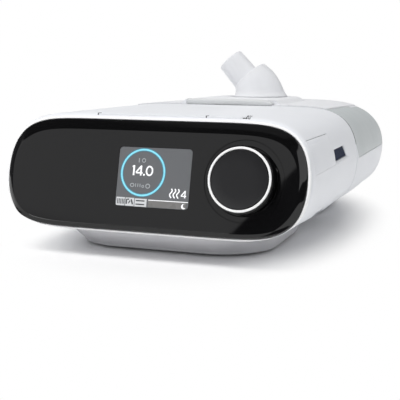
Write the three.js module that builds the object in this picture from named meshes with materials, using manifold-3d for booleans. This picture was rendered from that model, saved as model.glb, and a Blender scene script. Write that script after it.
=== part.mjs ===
// A bedside bilevel breathing machine docked to its heated humidifier, in millimetres.
// +X is to the right seen from the front, +Y points to the rear and +Z up. While the pieces are made,
// Y is 0 at the lower front lip; the last group moves the origin under the middle of the whole object.
import * as THREE from "three";
import { mergeVertices } from "three/addons/utils/BufferGeometryUtils.js";
import Module from "manifold-3d";

const wasm = await Module();
wasm.setup();

// Driving dimensions: clearances and walls
const seat = 0.3; // gap between fixed neighbours
const past = 1; // how far a cutting body runs past the face that it cuts
const running = 0.4; // gap round what moves
const wall = 2.6; // moulded casings
const thinWall = 2.2; // tank and small mouldings

// Driving dimensions: the casing's section, a rounded oblong |x/a|^p + |z/b|^q = 1
const casing = { a: 96.5, b: 36.15, p: 8.3, q: 2, midZ: 47.95 };
const deviceRear = 157.7;
const dockGap = 0.6;
const humidifierFront = deviceRear + dockGap;
const humidifierRear = 289.4;
const rearRounding = 4.9;

// Driving dimensions: the tilted front panel, in its own frame (u across, v up the panel, h out of it)
const tilt = THREE.MathUtils.degToRad(13.6);
const panelOutline = { a: 93.85, b: 32.77, p: 8.4, q: 2.17 };
const panelMid = { y: 10.7, z: 48.76 };
const panelFace = { a: 88.9, b: 27.3, p: 8.4, q: 2.3, v: -1.5 };
const panelRise = 3; // the flat face stands this far in front of the panel's edge
const panelEdge = 1.3;
const panelSkin = 2.2;
const shoulderDepth = 5.6; // rounding between the panel and the casing's flat top
const lipShare = 0.3; // share of that rounding left as a lip at the very front
const ledgeDepth = 1.6;

// Driving dimensions: what sits in the panel
const screen = { u: 3.8, v: -1.1, width: 45.9, height: 35.2, corner: 2.4 };
const windowThickness = 1.9;
const screenFrame = 5;
const screenDepth = 6.6;
const dial = { u: 58.3, v: -0.3, radius: 19.1, front: 12, ringWidth: 2.2, well: 23.5, wellDepth: 0.8 };
const dialTravel = 0.8;
const knobBoss = { radius: 6, back: 1.5, web: 2.4, skirt: 2.2, edge: 0.8, lip: 0.3 };
const cap = { depth: 1.2, web: 1.6, edge: 0.4, crown: 0.15 };
const shaftRadius = 3;
const encoderSide = 13;
const boardThickness = 1.6;
const displayBoard = { left: -76, right: 70, low: -23, high: 20 };
const boardBosses = [[-68, -14], [-68, 13], [40, -19.5], [40, 16.5]];
const bossRadius = 2.6;

// Driving dimensions: the two buttons along the front top edge
const buttonStrip = { front: 20.2, rear: 24.2, low: 78.6, under: 81.9, over: 90 };
const therapyButton = { left: -38.4, right: 31.6 };
const rampButton = { left: 31.6, right: 53 };
const buttonTravel = 0.8;
const stem = { width: 6, depth: 1.6, low: 76 };
const switchSize = { width: 6, height: 4 };

// Driving dimensions: the side door, the air inlet behind it and the card
const door = {
  inner: 80, front: 21, rear: 77, low: 52.5, axisZ: 68.9, axisDepth: 1.45, barrel: 1.45, pin: 0.6,
  opening: 110, openMargin: 2,
};
const inlet = {
  front: 77.6, rear: 120.5, rearTop: 113, low: 53, high: 61.6, frame: 6, deep: 7, inset: 1.6,
  rearInset: 7,
};
const bayWall = 1.8;
const bay = { inner: 64, front: 26, rear: 123, low: 46, high: 70.5 };
const filter = { inner: 78, outer: 85, front: 80 };
const card = { inner: 56, outer: 86, mid: 47, width: 24, z: 60, thickness: 2.1, travel: 1 };
const socketDepth = 17;

// Driving dimensions: the base pan and the pedestals
const pedestalFoot = 1.5; // height of the pan's underside
const panFloor = 4.1;
const panUpstand = { half: 61.5, front: 12, rear: 146, corner: 33, high: 18 };
const panTop = {
  half: panUpstand.half + 5.5, front: panUpstand.front - 8, rear: panUpstand.rear + 4, corner: 36,
};
const panBottom = {
  half: panUpstand.half + 3, front: panUpstand.front + 13, rear: panUpstand.rear, corner: 36,
};
const panSides = wall + 1; // the sloping sides are a little thicker
const panShelf = 11.35; // the upstand starts just under the casing's bottom
const pedestalHigh = 13.5;
const foot = { radius: 7, height: 2.5 };
const footInset = { side: 18.5, front: 23, rear: 18 };
const feetUnder = ({ half, front, rear }) =>
  [front + footInset.front, rear - footInset.rear].flatMap((y) =>
    [footInset.side - half, half - footInset.side].map((x) => [x, y]),
  );

// Driving dimensions: electronics and blower
const board = {
  half: panUpstand.half - 3.3, front: panBottom.front - 2.4, rear: panUpstand.rear - 4, corner: 29,
  z: 8,
};
const fixing = { x: board.half - 8.2, front: board.front + 17.4, rear: board.rear - 22 };
const boardScrews = [[-fixing.x, fixing.front], [fixing.x, fixing.rear]];
const boardPosts = [...boardScrews, [fixing.x, fixing.front], [-fixing.x, board.rear - 12]];
const post = 3.2;
const screw = { hole: 1.5, shank: 1.2, head: 2.6, crown: 1.9, rim: 1.1, height: 1.6 };
const powerInlet = {
  y: 132, z: 36, radius: 6, flange: 1.8, sunk: 0.6, socket: 2.8, pin: 0.9, pinIn: 2, depth: 13,
  end: 3,
};
const blower = { x: -18, y: 92, radius: 36, floor: 38, split: 58, top: 74, inlet: 14 };
const airway = { x: -44, z: 58, bore: 9.6, half: 10 };
const voluteEnd = 138;
const impeller = { radius: 28, low: 44, high: 66, hub: 7, blades: 11, thickness: 1.2, shaft: 2 };
const motor = { radius: 17, low: 24 };
const isolator = { radius: 5, circle: 29, base: 26, angles: [90, 210, 330] };
const bulkhead = { front: 152.4, thickness: 2.6 };
const port = { outer: 11.8, front: 149 };
const connector = { x: 38, z: 34, width: 16, height: 8, front: 146 };
const hooks = [-70, 70];
const hook = { width: 8, low: 60, high: 66, reach: 149.5 };

// Driving dimensions: the humidifier, its lid, latch, tank and elbow
const lidSeam = 48.4;
const lidGap = 0.3;
const lidCorner = { rise: 14, back: 8.5 }; // the seam's S-bend at the lid's front lower corner
const lidCrest = { half: 73, raise: 0.8 };
const island = { half: 33.4, rear: 266, corner: 18, top: 87.8 };
// The island's slope, as outset and height
const islandSlope = [[3.6, 81], [3.24, 83.6], [1.26, 85.6], [0.5, 87.2], [0, island.top]];
const hingeTab = 6;
const hinge = { barrel: 2.1, pin: 0.9, middle: 45, lidHalf: 5, outerHalf: 11.4 };
const sky = 100; // above everything that is cut from the top
const latch = {
  half: 33, front: 158.8, rear: 166, low: 84.2, top: 88.4, axisY: 163.8, axisZ: 86.4, pin: 0.8,
};
const latchHook = { half: 12, front: 161.2, rear: 162.8, low: 81.4 };
const latchRoom = { rear: 167.3, low: 83.2, slotRear: 164.8, pinEnd: 2.2, slotLow: 80 };
const pedestalTop = { half: 67, front: 170, rear: 284, corner: 30 };
const pedestalBottom = { half: 64.5, front: 176, rear: 278, corner: 30 };
const pedestalEdge = { inset: 2, rise: 1.5 };
const tank = { half: 60, front: 168, rear: 280, corner: 20, low: 15.4, rim: 46, seal: 1.6, top: 74 };
const heater = { x: 0, y: 225, radius: 40, thickness: 2.6 };
const tankPlate = { radius: 36, flange: 38.5, flangeThickness: 0.8 };
const elbow = {
  y: 240, base: 22.4, neck: 12.4, bore: 10, low: 88.1, lean: 42, turnZ: 92, neckLow: 80.4,
  sealRoom: 2.4,
};
const sealBelow = 1;
const elbowMouth = { x: -8.6, z: 106.9, radius: 16.7 };
const tube = { from: 88, offset: 1.6, start: 12, length: 39, root: 12, tip: 10.9, chamfer: 0.7, bore: 8.8 };
const tankOutlet = { outer: 13, bore: 10.8, top: 78.4 };

// Smoothness
const QUARTER = 14; // points round a quarter of the casing's section
const ROUND = 36;
const SMALL_ROUND = 16;

// Outlines

// Points along a quarter of a rounded oblong, closer together where it turns.
function quarterOutline({ a, b, p, q }) {
  const fineSteps = 160;
  const turnWeight = 30;
  const xHalf = a * 0.5 ** (1 / p);
  const zHalf = b * 0.5 ** (1 / q);
  const fine = [];
  for (let i = 0; i <= fineSteps; i++) {
    const z = (zHalf * i) / fineSteps;
    fine.push([a * (1 - (z / b) ** q) ** (1 / p), z]);
  }
  for (let i = fineSteps - 1; i >= 0; i--) {
    const x = (xHalf * i) / fineSteps;
    fine.push([x, b * (1 - (x / a) ** p) ** (1 / q)]);
  }
  const measure = [0];
  let heading = Math.PI / 2;
  for (let i = 1; i < fine.length; i++) {
    const dx = fine[i][0] - fine[i - 1][0];
    const dz = fine[i][1] - fine[i - 1][1];
    const next = Math.atan2(dz, dx);
    measure.push(measure[i - 1] + Math.hypot(dx, dz) + Math.abs(next - heading) * turnWeight);
    heading = next;
  }
  const points = [];
  for (let k = 0, i = 0; k <= QUARTER; k++) {
    const goal = (measure[measure.length - 1] * k) / QUARTER;
    while (i < measure.length - 2 && measure[i + 1] < goal) i++;
    const share = (goal - measure[i]) / (measure[i + 1] - measure[i]);
    points.push([0, 1].map((n) => fine[i][n] + share * (fine[i + 1][n] - fine[i][n])));
  }
  points[0][1] = 0;
  points[QUARTER][0] = 0;
  return points;
}

// The whole outline, grown outwards by `grow`, as [across, up] points about its centre.
function outline(shape, grow = 0) {
  const one = quarterOutline({ ...shape, a: shape.a + grow, b: shape.b + grow });
  const two = one.slice(0, QUARTER).reverse().map(([x, z]) => [-x, z]);
  const three = one.slice(1).map(([x, z]) => [-x, -z]);
  const four = one.slice(1, QUARTER).reverse().map(([x, z]) => [x, -z]);
  return [...one, ...two, ...three, ...four];
}

// A rectangle with round corners, as [x, y] points.
function roundedRing({ half, front, rear, corner }, inset = 0, steps = 6) {
  const radius = corner - inset;
  const points = [];
  for (const [cx, cy, start] of [
    [half - corner, rear - corner, 0],
    [corner - half, rear - corner, 90],
    [corner - half, front + corner, 180],
    [half - corner, front + corner, 270],
  ])
    for (let i = 0; i <= steps; i++) {
      const angle = THREE.MathUtils.degToRad(start + (90 * i) / steps);
      points.push([cx + radius * Math.cos(angle), cy + radius * Math.sin(angle)]);
    }
  return points;
}

// Solids

// The skin through a row of rings with as many points each, closed at both ends.
function loft(rings) {
  const count = rings[0].length;
  const positions = rings.flat(2);
  const faces = [];
  for (let r = 0; r < rings.length - 1; r++)
    for (let i = 0; i < count; i++) {
      const a = r * count + i;
      const b = r * count + ((i + 1) % count);
      faces.push(a, b, b + count, a, b + count, a + count);
    }
  for (const [ring, flip] of [[0, true], [rings.length - 1, false]]) {
    const middle = [0, 1, 2].map((n) => rings[ring].reduce((sum, point) => sum + point[n], 0) / count);
    const centre = positions.length / 3;
    positions.push(...middle);
    for (let i = 0; i < count; i++) {
      const a = ring * count + i;
      const b = ring * count + ((i + 1) % count);
      faces.push(...(flip ? [centre, b, a] : [centre, a, b]));
    }
  }
  const geometry = new THREE.BufferGeometry();
  geometry.setAttribute("position", new THREE.Float32BufferAttribute(positions, 3));
  geometry.setIndex(faces);
  return facingOut(geometry);
}

// Turns every face round if the geometry is inside out.
function facingOut(geometry) {
  const at = geometry.getAttribute("position");
  const index = geometry.index.array;
  const [a, b, c] = [new THREE.Vector3(), new THREE.Vector3(), new THREE.Vector3()];
  let volume = 0;
  for (let i = 0; i < index.length; i += 3) {
    a.fromBufferAttribute(at, index[i]);
    b.fromBufferAttribute(at, index[i + 1]);
    c.fromBufferAttribute(at, index[i + 2]);
    volume += a.dot(b.cross(c));
  }
  if (volume < 0) geometry.setIndex([...index].reverse());
  return geometry;
}

// Only the positions, with shared corners merged and collapsed faces left out.
function merged(geometry) {
  const bare = new THREE.BufferGeometry();
  bare.setAttribute("position", geometry.getAttribute("position"));
  if (geometry.index) bare.setIndex(geometry.index);
  const joined = mergeVertices(bare, 1e-4);
  const kept = [];
  const index = joined.index.array;
  for (let i = 0; i < index.length; i += 3) {
    const [a, b, c] = [index[i], index[i + 1], index[i + 2]];
    if (a !== b && b !== c && c !== a) kept.push(a, b, c);
  }
  joined.setIndex(kept);
  return facingOut(joined);
}

function manifoldOf(geometry) {
  const ready = merged(geometry);
  return new wasm.Manifold(
    new wasm.Mesh({
      numProp: 3,
      vertProperties: new Float32Array(ready.getAttribute("position").array),
      triVerts: new Uint32Array(ready.index.array),
    }),
  );
}

function geometryOf(manifold) {
  const mesh = manifold.getMesh();
  const geometry = new THREE.BufferGeometry();
  geometry.setAttribute("position", new THREE.BufferAttribute(new Float32Array(mesh.vertProperties), 3));
  geometry.setIndex(new THREE.BufferAttribute(new Uint32Array(mesh.triVerts), 1));
  return geometry;
}

const join = (first, ...rest) =>
  geometryOf(rest.reduce((sum, next) => sum.add(manifoldOf(next)), manifoldOf(first)));
const cut = (first, ...rest) =>
  geometryOf(rest.reduce((left, next) => left.subtract(manifoldOf(next)), manifoldOf(first)));
const common = (first, ...rest) =>
  geometryOf(rest.reduce((both, next) => both.intersect(manifoldOf(next)), manifoldOf(first)));

function block([x0, x1], [y0, y1], [z0, z1]) {
  return new THREE.BoxGeometry(x1 - x0, y1 - y0, z1 - z0).translate(
    (x0 + x1) / 2,
    (y0 + y1) / 2,
    (z0 + z1) / 2,
  );
}

const around = (middle, half) => [middle - half, middle + half];

// A round bar between two points.
function rod(radius, from, to, sides = SMALL_ROUND, endRadius = radius) {
  const start = new THREE.Vector3(...from);
  const end = new THREE.Vector3(...to);
  const along = end.clone().sub(start);
  const turn = new THREE.Quaternion().setFromUnitVectors(
    new THREE.Vector3(0, 1, 0),
    along.clone().normalize(),
  );
  return new THREE.CylinderGeometry(endRadius, radius, along.length(), sides)
    .applyQuaternion(turn)
    .translate(...start.add(end).multiplyScalar(0.5).toArray());
}

const upright = (radius, [x, y], [z0, z1], sides) => rod(radius, [x, y, z0], [x, y, z1], sides);

// A profile of [radius, height] points turned about the Z axis.
function turned(profile, sides = ROUND) {
  const points = profile.map(([r, z]) => new THREE.Vector2(r, z));
  return new THREE.LatheGeometry(points, sides).rotateX(Math.PI / 2);
}

// A flat ring about the Z axis.
const washer = (inner, outer, z0, z1, sides) =>
  turned([[inner, z0], [outer, z0], [outer, z1], [inner, z1], [inner, z0]], sides);

// A plate with round corners whose ring of [x, y] points is carried from z0 to z1.
const plate = (ring, z0, z1) => loft([ring.map(([x, y]) => [x, y, z0]), ring.map(([x, y]) => [x, y, z1])]);

// A rounded rectangle about a centre, for plates in the panel's frame.
const roundedAt = (u, v, width, height, corner) =>
  roundedRing({ half: width / 2, front: v - height / 2, rear: v + height / 2, corner }, 0, 4).map(
    ([x, y]) => [x + u, y],
  );

// A YZ outline carried across X.
function across(points, [x0, x1]) {
  return loft([points.map(([y, z]) => [x0, y, z]), points.map(([y, z]) => [x1, y, z])]);
}

// Where things lie

const panelPlaneY = (z) => panelMid.y + (z - panelMid.z) * Math.tan(tilt);
const panelGroup = new THREE.Group();
panelGroup.position.set(0, panelMid.y, panelMid.z);
panelGroup.rotation.x = Math.PI / 2 - tilt;
panelGroup.updateMatrixWorld(true);
const inPanel = (geometry) => geometry.applyMatrix4(panelGroup.matrixWorld);

// Half the casing's width at a height, `inset` inside its surface.
function casingHalfWidth(z, inset = 0) {
  const rise = Math.min(1, Math.abs(z - casing.midZ) / (casing.b - inset));
  return (casing.a - inset) * (1 - rise ** casing.q) ** (1 / casing.p);
}

const casingRing = (inset, y) => outline(casing, -inset).map(([x, z]) => [x, y, z + casing.midZ]);

// The casing's section between the panel's outline (share 0) and the full one (share 1).
function frontRing(share, depth, grow = 0) {
  const flat = { ...panelOutline, b: panelOutline.b * Math.cos(tilt), midZ: panelMid.z };
  const shape = {};
  for (const key of ["a", "b", "p", "q", "midZ"]) shape[key] = flat[key] + share * (casing[key] - flat[key]);
  return outline(shape, grow).map(([x, z]) => {
    const height = z + shape.midZ;
    return [x, panelPlaneY(height) + depth, height];
  });
}

// The therapy unit's outer form: a lip, a rounded shoulder and a constant section to the rear.
function deviceForm(grow = 0) {
  const rings = [];
  for (const share of [0, 0.1, 0.35, 0.65, 1]) {
    const rounding = Math.sqrt(1 - (1 - share) ** 2);
    rings.push(frontRing(lipShare + (1 - lipShare) * rounding, share * shoulderDepth - grow, grow));
  }
  rings.push(casingRing(-grow, deviceRear + grow));
  return loft(rings);
}

// The panel's outline carried from one height to another, in the panel's frame.
const panelPrism = (grow, h0, h1) =>
  loft([h0, h1].map((h) => outline(panelOutline, grow).map(([u, v]) => [u, v, h])));

// The humidifier's outer form, `inset` inside, with its rear edge rounded.
function humidifierForm(inset, front, rear, rounding = rearRounding) {
  const rings = [casingRing(inset, front)];
  for (const angle of [0, 30, 60, 90]) {
    const turn = THREE.MathUtils.degToRad(angle);
    rings.push(casingRing(inset + rounding * (1 - Math.cos(turn)), rear - rounding * (1 - Math.sin(turn))));
  }
  return loft(rings);
}

// Everything above the lid's seam, `grow` larger, with the S-bend at its front lower corner.
function lidZone(grow) {
  const reach = 400;
  const start = humidifierFront + lidGap / 2 - grow;
  const low = lidSeam + lidGap / 2 - grow;
  const points = [[reach, reach], [start, reach]];
  const steps = 8;
  for (let i = steps; i >= 0; i--) {
    const up = i / steps;
    points.push([start + lidCorner.back * (1 - up) ** 2, low + lidCorner.rise * up]);
  }
  points.push([reach, low]);
  const shape = new THREE.Shape(points.map(([y, z]) => new THREE.Vector2(y, z)));
  const zone = new THREE.ExtrudeGeometry(shape, { depth: 2 * reach, bevelEnabled: false, steps: 1 });
  // The drawing's x and y become Y and Z, and its depth becomes X.
  return zone.translate(0, 0, -reach).applyMatrix4(new THREE.Matrix4().makeBasis(
    new THREE.Vector3(0, 1, 0), new THREE.Vector3(0, 0, 1), new THREE.Vector3(1, 0, 0)));
}

// Materials, from the photographed colours
function finish(red, green, blue, roughness, metalness = 0) {
  const color = new THREE.Color().setRGB(red / 255, green / 255, blue / 255, THREE.SRGBColorSpace);
  return new THREE.MeshStandardMaterial({ color, roughness, metalness });
}
const finishes = {
  white: finish(232, 234, 238, 0.4),
  lidWhite: finish(222, 226, 228, 0.4),
  grey: finish(150, 152, 156, 0.55),
  latchGrey: finish(200, 202, 203, 0.45),
  black: finish(20, 20, 22, 0.08),
  dialBlack: finish(46, 46, 48, 0.35),
  ringWhite: finish(250, 250, 250, 0.3),
  glass: finish(118, 120, 124, 0.05),
  board: finish(24, 88, 60, 0.5),
  darkPlastic: finish(38, 38, 40, 0.6),
  rubber: finish(52, 52, 54, 0.85),
  silicone: finish(190, 196, 200, 0.6),
  foam: finish(38, 66, 118, 0.95),
  steel: finish(170, 172, 175, 0.3, 1),
  aluminium: finish(205, 206, 208, 0.35, 1),
  clear: finish(196, 212, 222, 0.1),
};

const machine = new THREE.Group();
function add(name, geometry, material, parent = machine) {
  const shown = merged(geometry).toNonIndexed();
  shown.computeVertexNormals();
  const mesh = new THREE.Mesh(shown, material);
  mesh.name = name;
  parent.add(mesh);
}

// Casing of the therapy unit

const inletCorners = (grow) => [
  [inlet.front - grow, inlet.low - grow],
  [inlet.rear + grow, inlet.low - grow],
  [inlet.rearTop + grow, inlet.high + grow],
  [inlet.front - grow, inlet.high + grow],
];
// The thick frame inside the wall that the inlet's funnel is cut through.
const inletFrame = (grow) =>
  block(
    [casingHalfWidth(inlet.high) - inlet.frame - grow, casing.a + wall],
    [inlet.front - grow, inlet.rear + wall + grow],
    [inlet.low - wall - grow, inlet.high + wall + grow],
  );

function inletFunnel() {
  const outer = inletCorners(0);
  const inner = [
    [inlet.front, inlet.low + inlet.inset],
    [inlet.rear - inlet.rearInset, inlet.low + inlet.inset],
    [inlet.rearTop - inlet.rearInset, inlet.high],
    [inlet.front, inlet.high],
  ];
  const mouth = casing.a + 1;
  const throat = casing.a - inlet.deep - wall;
  return loft([
    outer.map(([y, z]) => [mouth + wall, y, z]),
    outer.map(([y, z]) => [mouth, y, z]),
    inner.map(([y, z]) => [throat, y, z]),
    inner.map(([y, z]) => [throat - wall, y, z]),
  ]);
}

const doorAxisX = casingHalfWidth(door.axisZ, door.axisDepth);
const doorAxisRod = (radius, y0, y1) => rod(radius, [doorAxisX, y0, door.axisZ], [doorAxisX, y1, door.axisZ]);
const doorSpace = (grow) =>
  join(
    block(
      [door.inner, casing.a + wall],
      [door.front - grow, door.rear + grow],
      [door.low - grow, door.axisZ],
    ),
    doorAxisRod(door.barrel + grow, door.front - grow, door.rear + grow),
  );

const buttonSpace = ({ left, right }, grow) =>
  block(
    [left - grow, right + grow],
    [buttonStrip.front - grow, buttonStrip.rear + grow],
    [buttonStrip.low, buttonStrip.over],
  );

const coverRange = { y: [64, 108], z: [36, 60], depth: 6 };
const coverSpace = (grow) =>
  block(
    [-casing.a - wall, coverRange.depth - casing.a],
    [coverRange.y[0] - grow, coverRange.y[1] + grow],
    [coverRange.z[0] - grow, coverRange.z[1] + grow],
  );
const lowerSlot = { y: [56, 92], z: [19.6, 22.2], depth: 8 };

// Room above the hinge for the door when it stands fully open.
function doorOpen(grow) {
  const turn = THREE.MathUtils.degToRad(door.opening + door.openMargin);
  return common(doorSpace(grow), deviceForm(grow))
    .translate(-doorAxisX, 0, -door.axisZ)
    .rotateY(-turn)
    .translate(doorAxisX, 0, door.axisZ);
}

function mainShell() {
  const cavity = loft([
    frontRing(1, ledgeDepth + 1.8, -wall),
    casingRing(wall, deviceRear + wall),
  ]);
  const hollow = cut(cavity, common(inletFrame(0), deviceForm()));
  return cut(
    deviceForm(),
    hollow,
    inPanel(panelPrism(seat, -ledgeDepth, 12)),
    inPanel(panelPrism(-4.5, -ledgeDepth - 12, 0)),
    plate(roundedRing(panUpstand), 0, casing.midZ - casing.b + wall + 2),
    doorSpace(running),
    doorOpen(running),
    doorAxisRod(door.pin + seat, door.front - 3, door.rear + 3),
    inletFunnel(),
    buttonSpace({ left: therapyButton.left, right: rampButton.right }, running / 2),
    coverSpace(seat),
    rod(powerInlet.radius + seat, [-casing.a - wall, powerInlet.y, powerInlet.z],
      [powerInlet.depth - casing.a, powerInlet.y, powerInlet.z]),
    block([casingHalfWidth(lowerSlot.z[1]) - lowerSlot.depth, casing.a], lowerSlot.y, lowerSlot.z),
  );
}
add("main_shell", mainShell(), finishes.white);

function panWalls(bottom, top, foot, inset) {
  return loft([
    roundedRing(bottom, inset + pedestalEdge.inset).map(([x, y]) => [x, y, foot]),
    roundedRing(bottom, inset).map(([x, y]) => [x, y, foot + pedestalEdge.rise]),
    roundedRing(top, inset).map(([x, y]) => [x, y, pedestalHigh]),
  ]);
}

function basePan() {
  const bosses = isolator.angles.map((angle) => upright(
    isolator.radius,
    isolatorAt(angle),
    [panFloor - 1, isolator.base],
  ));
  const posts = boardPosts.map((at) => upright(post, at, [panFloor - 1, board.z - seat]));
  const pan = cut(
    join(
      cut(panWalls(panBottom, panTop, pedestalFoot, 0), deviceForm(seat)),
      plate(roundedRing(panUpstand, seat), panShelf, panUpstand.high),
    ),
    panCavity(),
    plate(roundedRing(panUpstand, seat + thinWall), panShelf, panUpstand.high + past),
    ...feetUnder(panBottom).map((at) => upright(foot.radius + seat, at, [0, foot.height + seat])),
  );
  return cut(
    join(pan, ...bosses, ...posts),
    ...boardScrews.map((at) => upright(screw.hole, at, [panFloor + 0.5, board.z + 1])),
  );
}

// The room inside the pan's sloping walls, below its shelf.
function panCavity() {
  return loft([
    roundedRing(panBottom, panSides).map(([x, y]) => [x, y, panFloor]),
    roundedRing(panUpstand, seat + thinWall).map(([x, y]) => [x, y, panShelf + 0.1]),
  ]);
}

function isolatorAt(angle) {
  const turn = THREE.MathUtils.degToRad(angle);
  return [blower.x + isolator.circle * Math.cos(turn), blower.y + isolator.circle * Math.sin(turn)];
}
add("base_pan", basePan(), finishes.grey);

function rearBulkhead() {
  const rear = bulkhead.front + bulkhead.thickness;
  const sheet = loft([casingRing(wall + seat, bulkhead.front), casingRing(wall + seat, rear)]);
  const pipe = rod(
    port.outer,
    [airway.x, port.front, airway.z],
    [airway.x, deviceRear - seat, airway.z],
    ROUND,
  );
  return cut(
    join(sheet, pipe),
    rod(airway.bore, [airway.x, port.front - past, airway.z], [airway.x, deviceRear + past, airway.z], ROUND),
    block(
      around(connector.x, connector.width / 2 + seat),
      [bulkhead.front - past, rear + past],
      around(connector.z, connector.height / 2 + seat),
    ),
    ...hooks.map((x) =>
      block(
        around(x, hook.width / 2 + running),
        [bulkhead.front - past, rear + past],
        [hook.low - running, hook.high + running],
      ),
    ),
  );
}
add("rear_bulkhead", rearBulkhead(), finishes.white);

// Front panel, display and dial, in the panel's frame

machine.add(panelGroup);

const faceBack = panelRise - panelSkin;
const boardFront = faceBack - screenDepth - seat;

function frontPanel() {
  const between = (share) => {
    const shape = {};
    for (const key of ["a", "b", "p", "q"]) {
      shape[key] = panelOutline[key] + share * (panelFace[key] - panelOutline[key]);
    }
    return { shape, v: share * panelFace.v };
  };
  const ring = (share, h, grow = 0) => {
    const { shape, v } = between(share);
    return outline(shape, grow).map(([x, y]) => [x, y + v, h]);
  };
  const skin = loft([
    ring(0, -panelEdge), ring(0, 0), ring(0.08, 0.7), ring(0.9, panelRise - 0.25),
    ring(1, panelRise),
  ]);
  const hollow = loft([
    ring(0, -panelEdge - past, -3.2), ring(0, -panelEdge + 0.2, -3.2), ring(0.9, faceBack, -2),
  ]);
  const bosses = boardBosses.map((at) => upright(bossRadius, at, [boardFront + seat, faceBack + 1], 12));
  return cut(
    join(cut(skin, hollow), ...bosses),
    plate(
      roundedAt(screen.u, screen.v, screen.width, screen.height, screen.corner),
      faceBack - past,
      panelRise + past,
    ),
    upright(dial.well, [dial.u, dial.v], [panelRise - dial.wellDepth, panelRise + past], ROUND),
    upright(shaftRadius + 2, [dial.u, dial.v], [faceBack - past, panelRise + past]),
  );
}
add("front_panel", frontPanel(), finishes.black, panelGroup);

const windowBack = panelRise - windowThickness - 0.15;
add(
  "display_window",
  plate(
    roundedAt(screen.u, screen.v, screen.width - 2 * seat, screen.height - 2 * seat, screen.corner - seat),
    windowBack,
    windowBack + windowThickness,
  ),
  finishes.glass,
  panelGroup,
);

function lcdModule() {
  const front = faceBack - seat;
  const frame = block(
    around(screen.u, screen.width / 2 + screenFrame),
    around(screen.v, screen.height / 2 + screenFrame / 2),
    [boardFront + seat, front],
  );
  return join(
    frame,
    block(
      around(screen.u, screen.width / 2 - 1),
      around(screen.v, screen.height / 2 - 1),
      [front - 1, windowBack - seat],
    ),
  );
}
add("lcd_module", lcdModule(), finishes.darkPlastic, panelGroup);

function displayCircuit() {
  const { left, right, low, high } = displayBoard;
  return block([left, right], [low, high], [boardFront - boardThickness, boardFront]);
}
add("display_board", displayCircuit(), finishes.board, panelGroup);

const shaftLow = boardFront + 1.6;
add(
  "encoder_body",
  cut(
    join(
      block(
        around(dial.u, encoderSide / 2),
        around(dial.v, encoderSide / 2),
        [boardFront + seat, faceBack - 1.2],
      ),
      upright(shaftRadius + 1.5, [dial.u, dial.v], [faceBack - 2, panelRise - dial.wellDepth - seat]),
    ),
    upright(shaftRadius + seat, [dial.u, dial.v], [shaftLow - dialTravel - seat, panelRise + past]),
  ),
  finishes.steel,
  panelGroup,
);

// The dial: a skirted knob with a white ring and a cap let into its front, on the encoder's shaft.
const dialGroup = new THREE.Group();
dialGroup.position.set(dial.u, dial.v, 0);
panelGroup.add(dialGroup);
const knobBack = panelRise - dial.wellDepth + dialTravel + running;
const knobFront = dial.front - cap.depth;
const shaftTop = knobFront - cap.web;
add("encoder_shaft", turned(
  [[0, shaftLow], [shaftRadius, shaftLow], [shaftRadius, shaftTop], [0, shaftTop]],
  24,
),
  finishes.steel, dialGroup);
add(
  "dial_knob",
  cut(
    turned([
      [0, knobBack + knobBoss.back], [knobBoss.radius, knobBack + knobBoss.back],
      [knobBoss.radius, knobFront - knobBoss.web], [dial.radius - knobBoss.skirt, knobFront - knobBoss.web],
      [dial.radius - knobBoss.skirt, knobBack], [dial.radius - knobBoss.lip, knobBack],
      [dial.radius, knobBack + knobBoss.edge],
      [dial.radius, knobFront], [0, knobFront],
    ]),
    upright(shaftRadius + seat, [0, 0], [knobBack, shaftTop + seat], 24),
  ),
  finishes.dialBlack,
  dialGroup,
);
const ringInner = dial.radius - dial.ringWidth;
const ringRounding = 0.5;
add(
  "dial_ring",
  turned([
    [ringInner, knobFront + seat], [dial.radius, knobFront + seat], [dial.radius, dial.front - ringRounding],
    [dial.radius - ringRounding, dial.front], [ringInner + 0.3, dial.front], [ringInner, dial.front - 0.3],
    [ringInner, knobFront + seat],
  ]),
  finishes.ringWhite,
  dialGroup,
);
add(
  "dial_cap",
  turned([
    [0, knobFront + seat], [ringInner - seat, knobFront + seat], [ringInner - seat, dial.front - cap.edge],
    [ringInner - cap.depth, dial.front - cap.crown], [0, dial.front],
  ]),
  finishes.dialBlack,
  dialGroup,
);

// Buttons along the top front edge, each a slice of the casing's own form over a switch

function pressButton(span) {
  const middle = (span.left + span.right) / 2;
  const slice = common(
    deviceForm(),
    block(
      [span.left + running / 2, span.right - running / 2],
      [buttonStrip.front + running / 2, buttonStrip.rear - running / 2],
      [buttonStrip.under, buttonStrip.over],
    ),
  );
  const stemRear = buttonStrip.rear - running / 2;
  return join(
    slice,
    block(
      around(middle, stem.width / 2),
      [stemRear - stem.depth, stemRear],
      [stem.low, buttonStrip.under + 0.5],
    ),
  );
}
add("therapy_button", pressButton(therapyButton), finishes.white);
add("ramp_button", pressButton(rampButton), finishes.white);

// The display board's top edge in world terms carries the two switches.
const boardEdge = new THREE.Vector3(0, displayBoard.high, boardFront).applyMatrix4(panelGroup.matrixWorld);
for (const [name, span] of [["therapy_switch", therapyButton], ["ramp_switch", rampButton]]) {
  const middle = (span.left + span.right) / 2;
  const top = stem.low - buttonTravel - seat;
  add(
    name,
    block(
      around(middle, switchSize.width / 2),
      [buttonStrip.rear - stem.depth - past, boardEdge.y + 1.4],
      [boardEdge.z + seat, Math.max(top, boardEdge.z + seat + 2)],
    ),
    finishes.darkPlastic,
  );
}

// Side door, its pin, the bay behind it, the filter and the memory card

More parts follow.
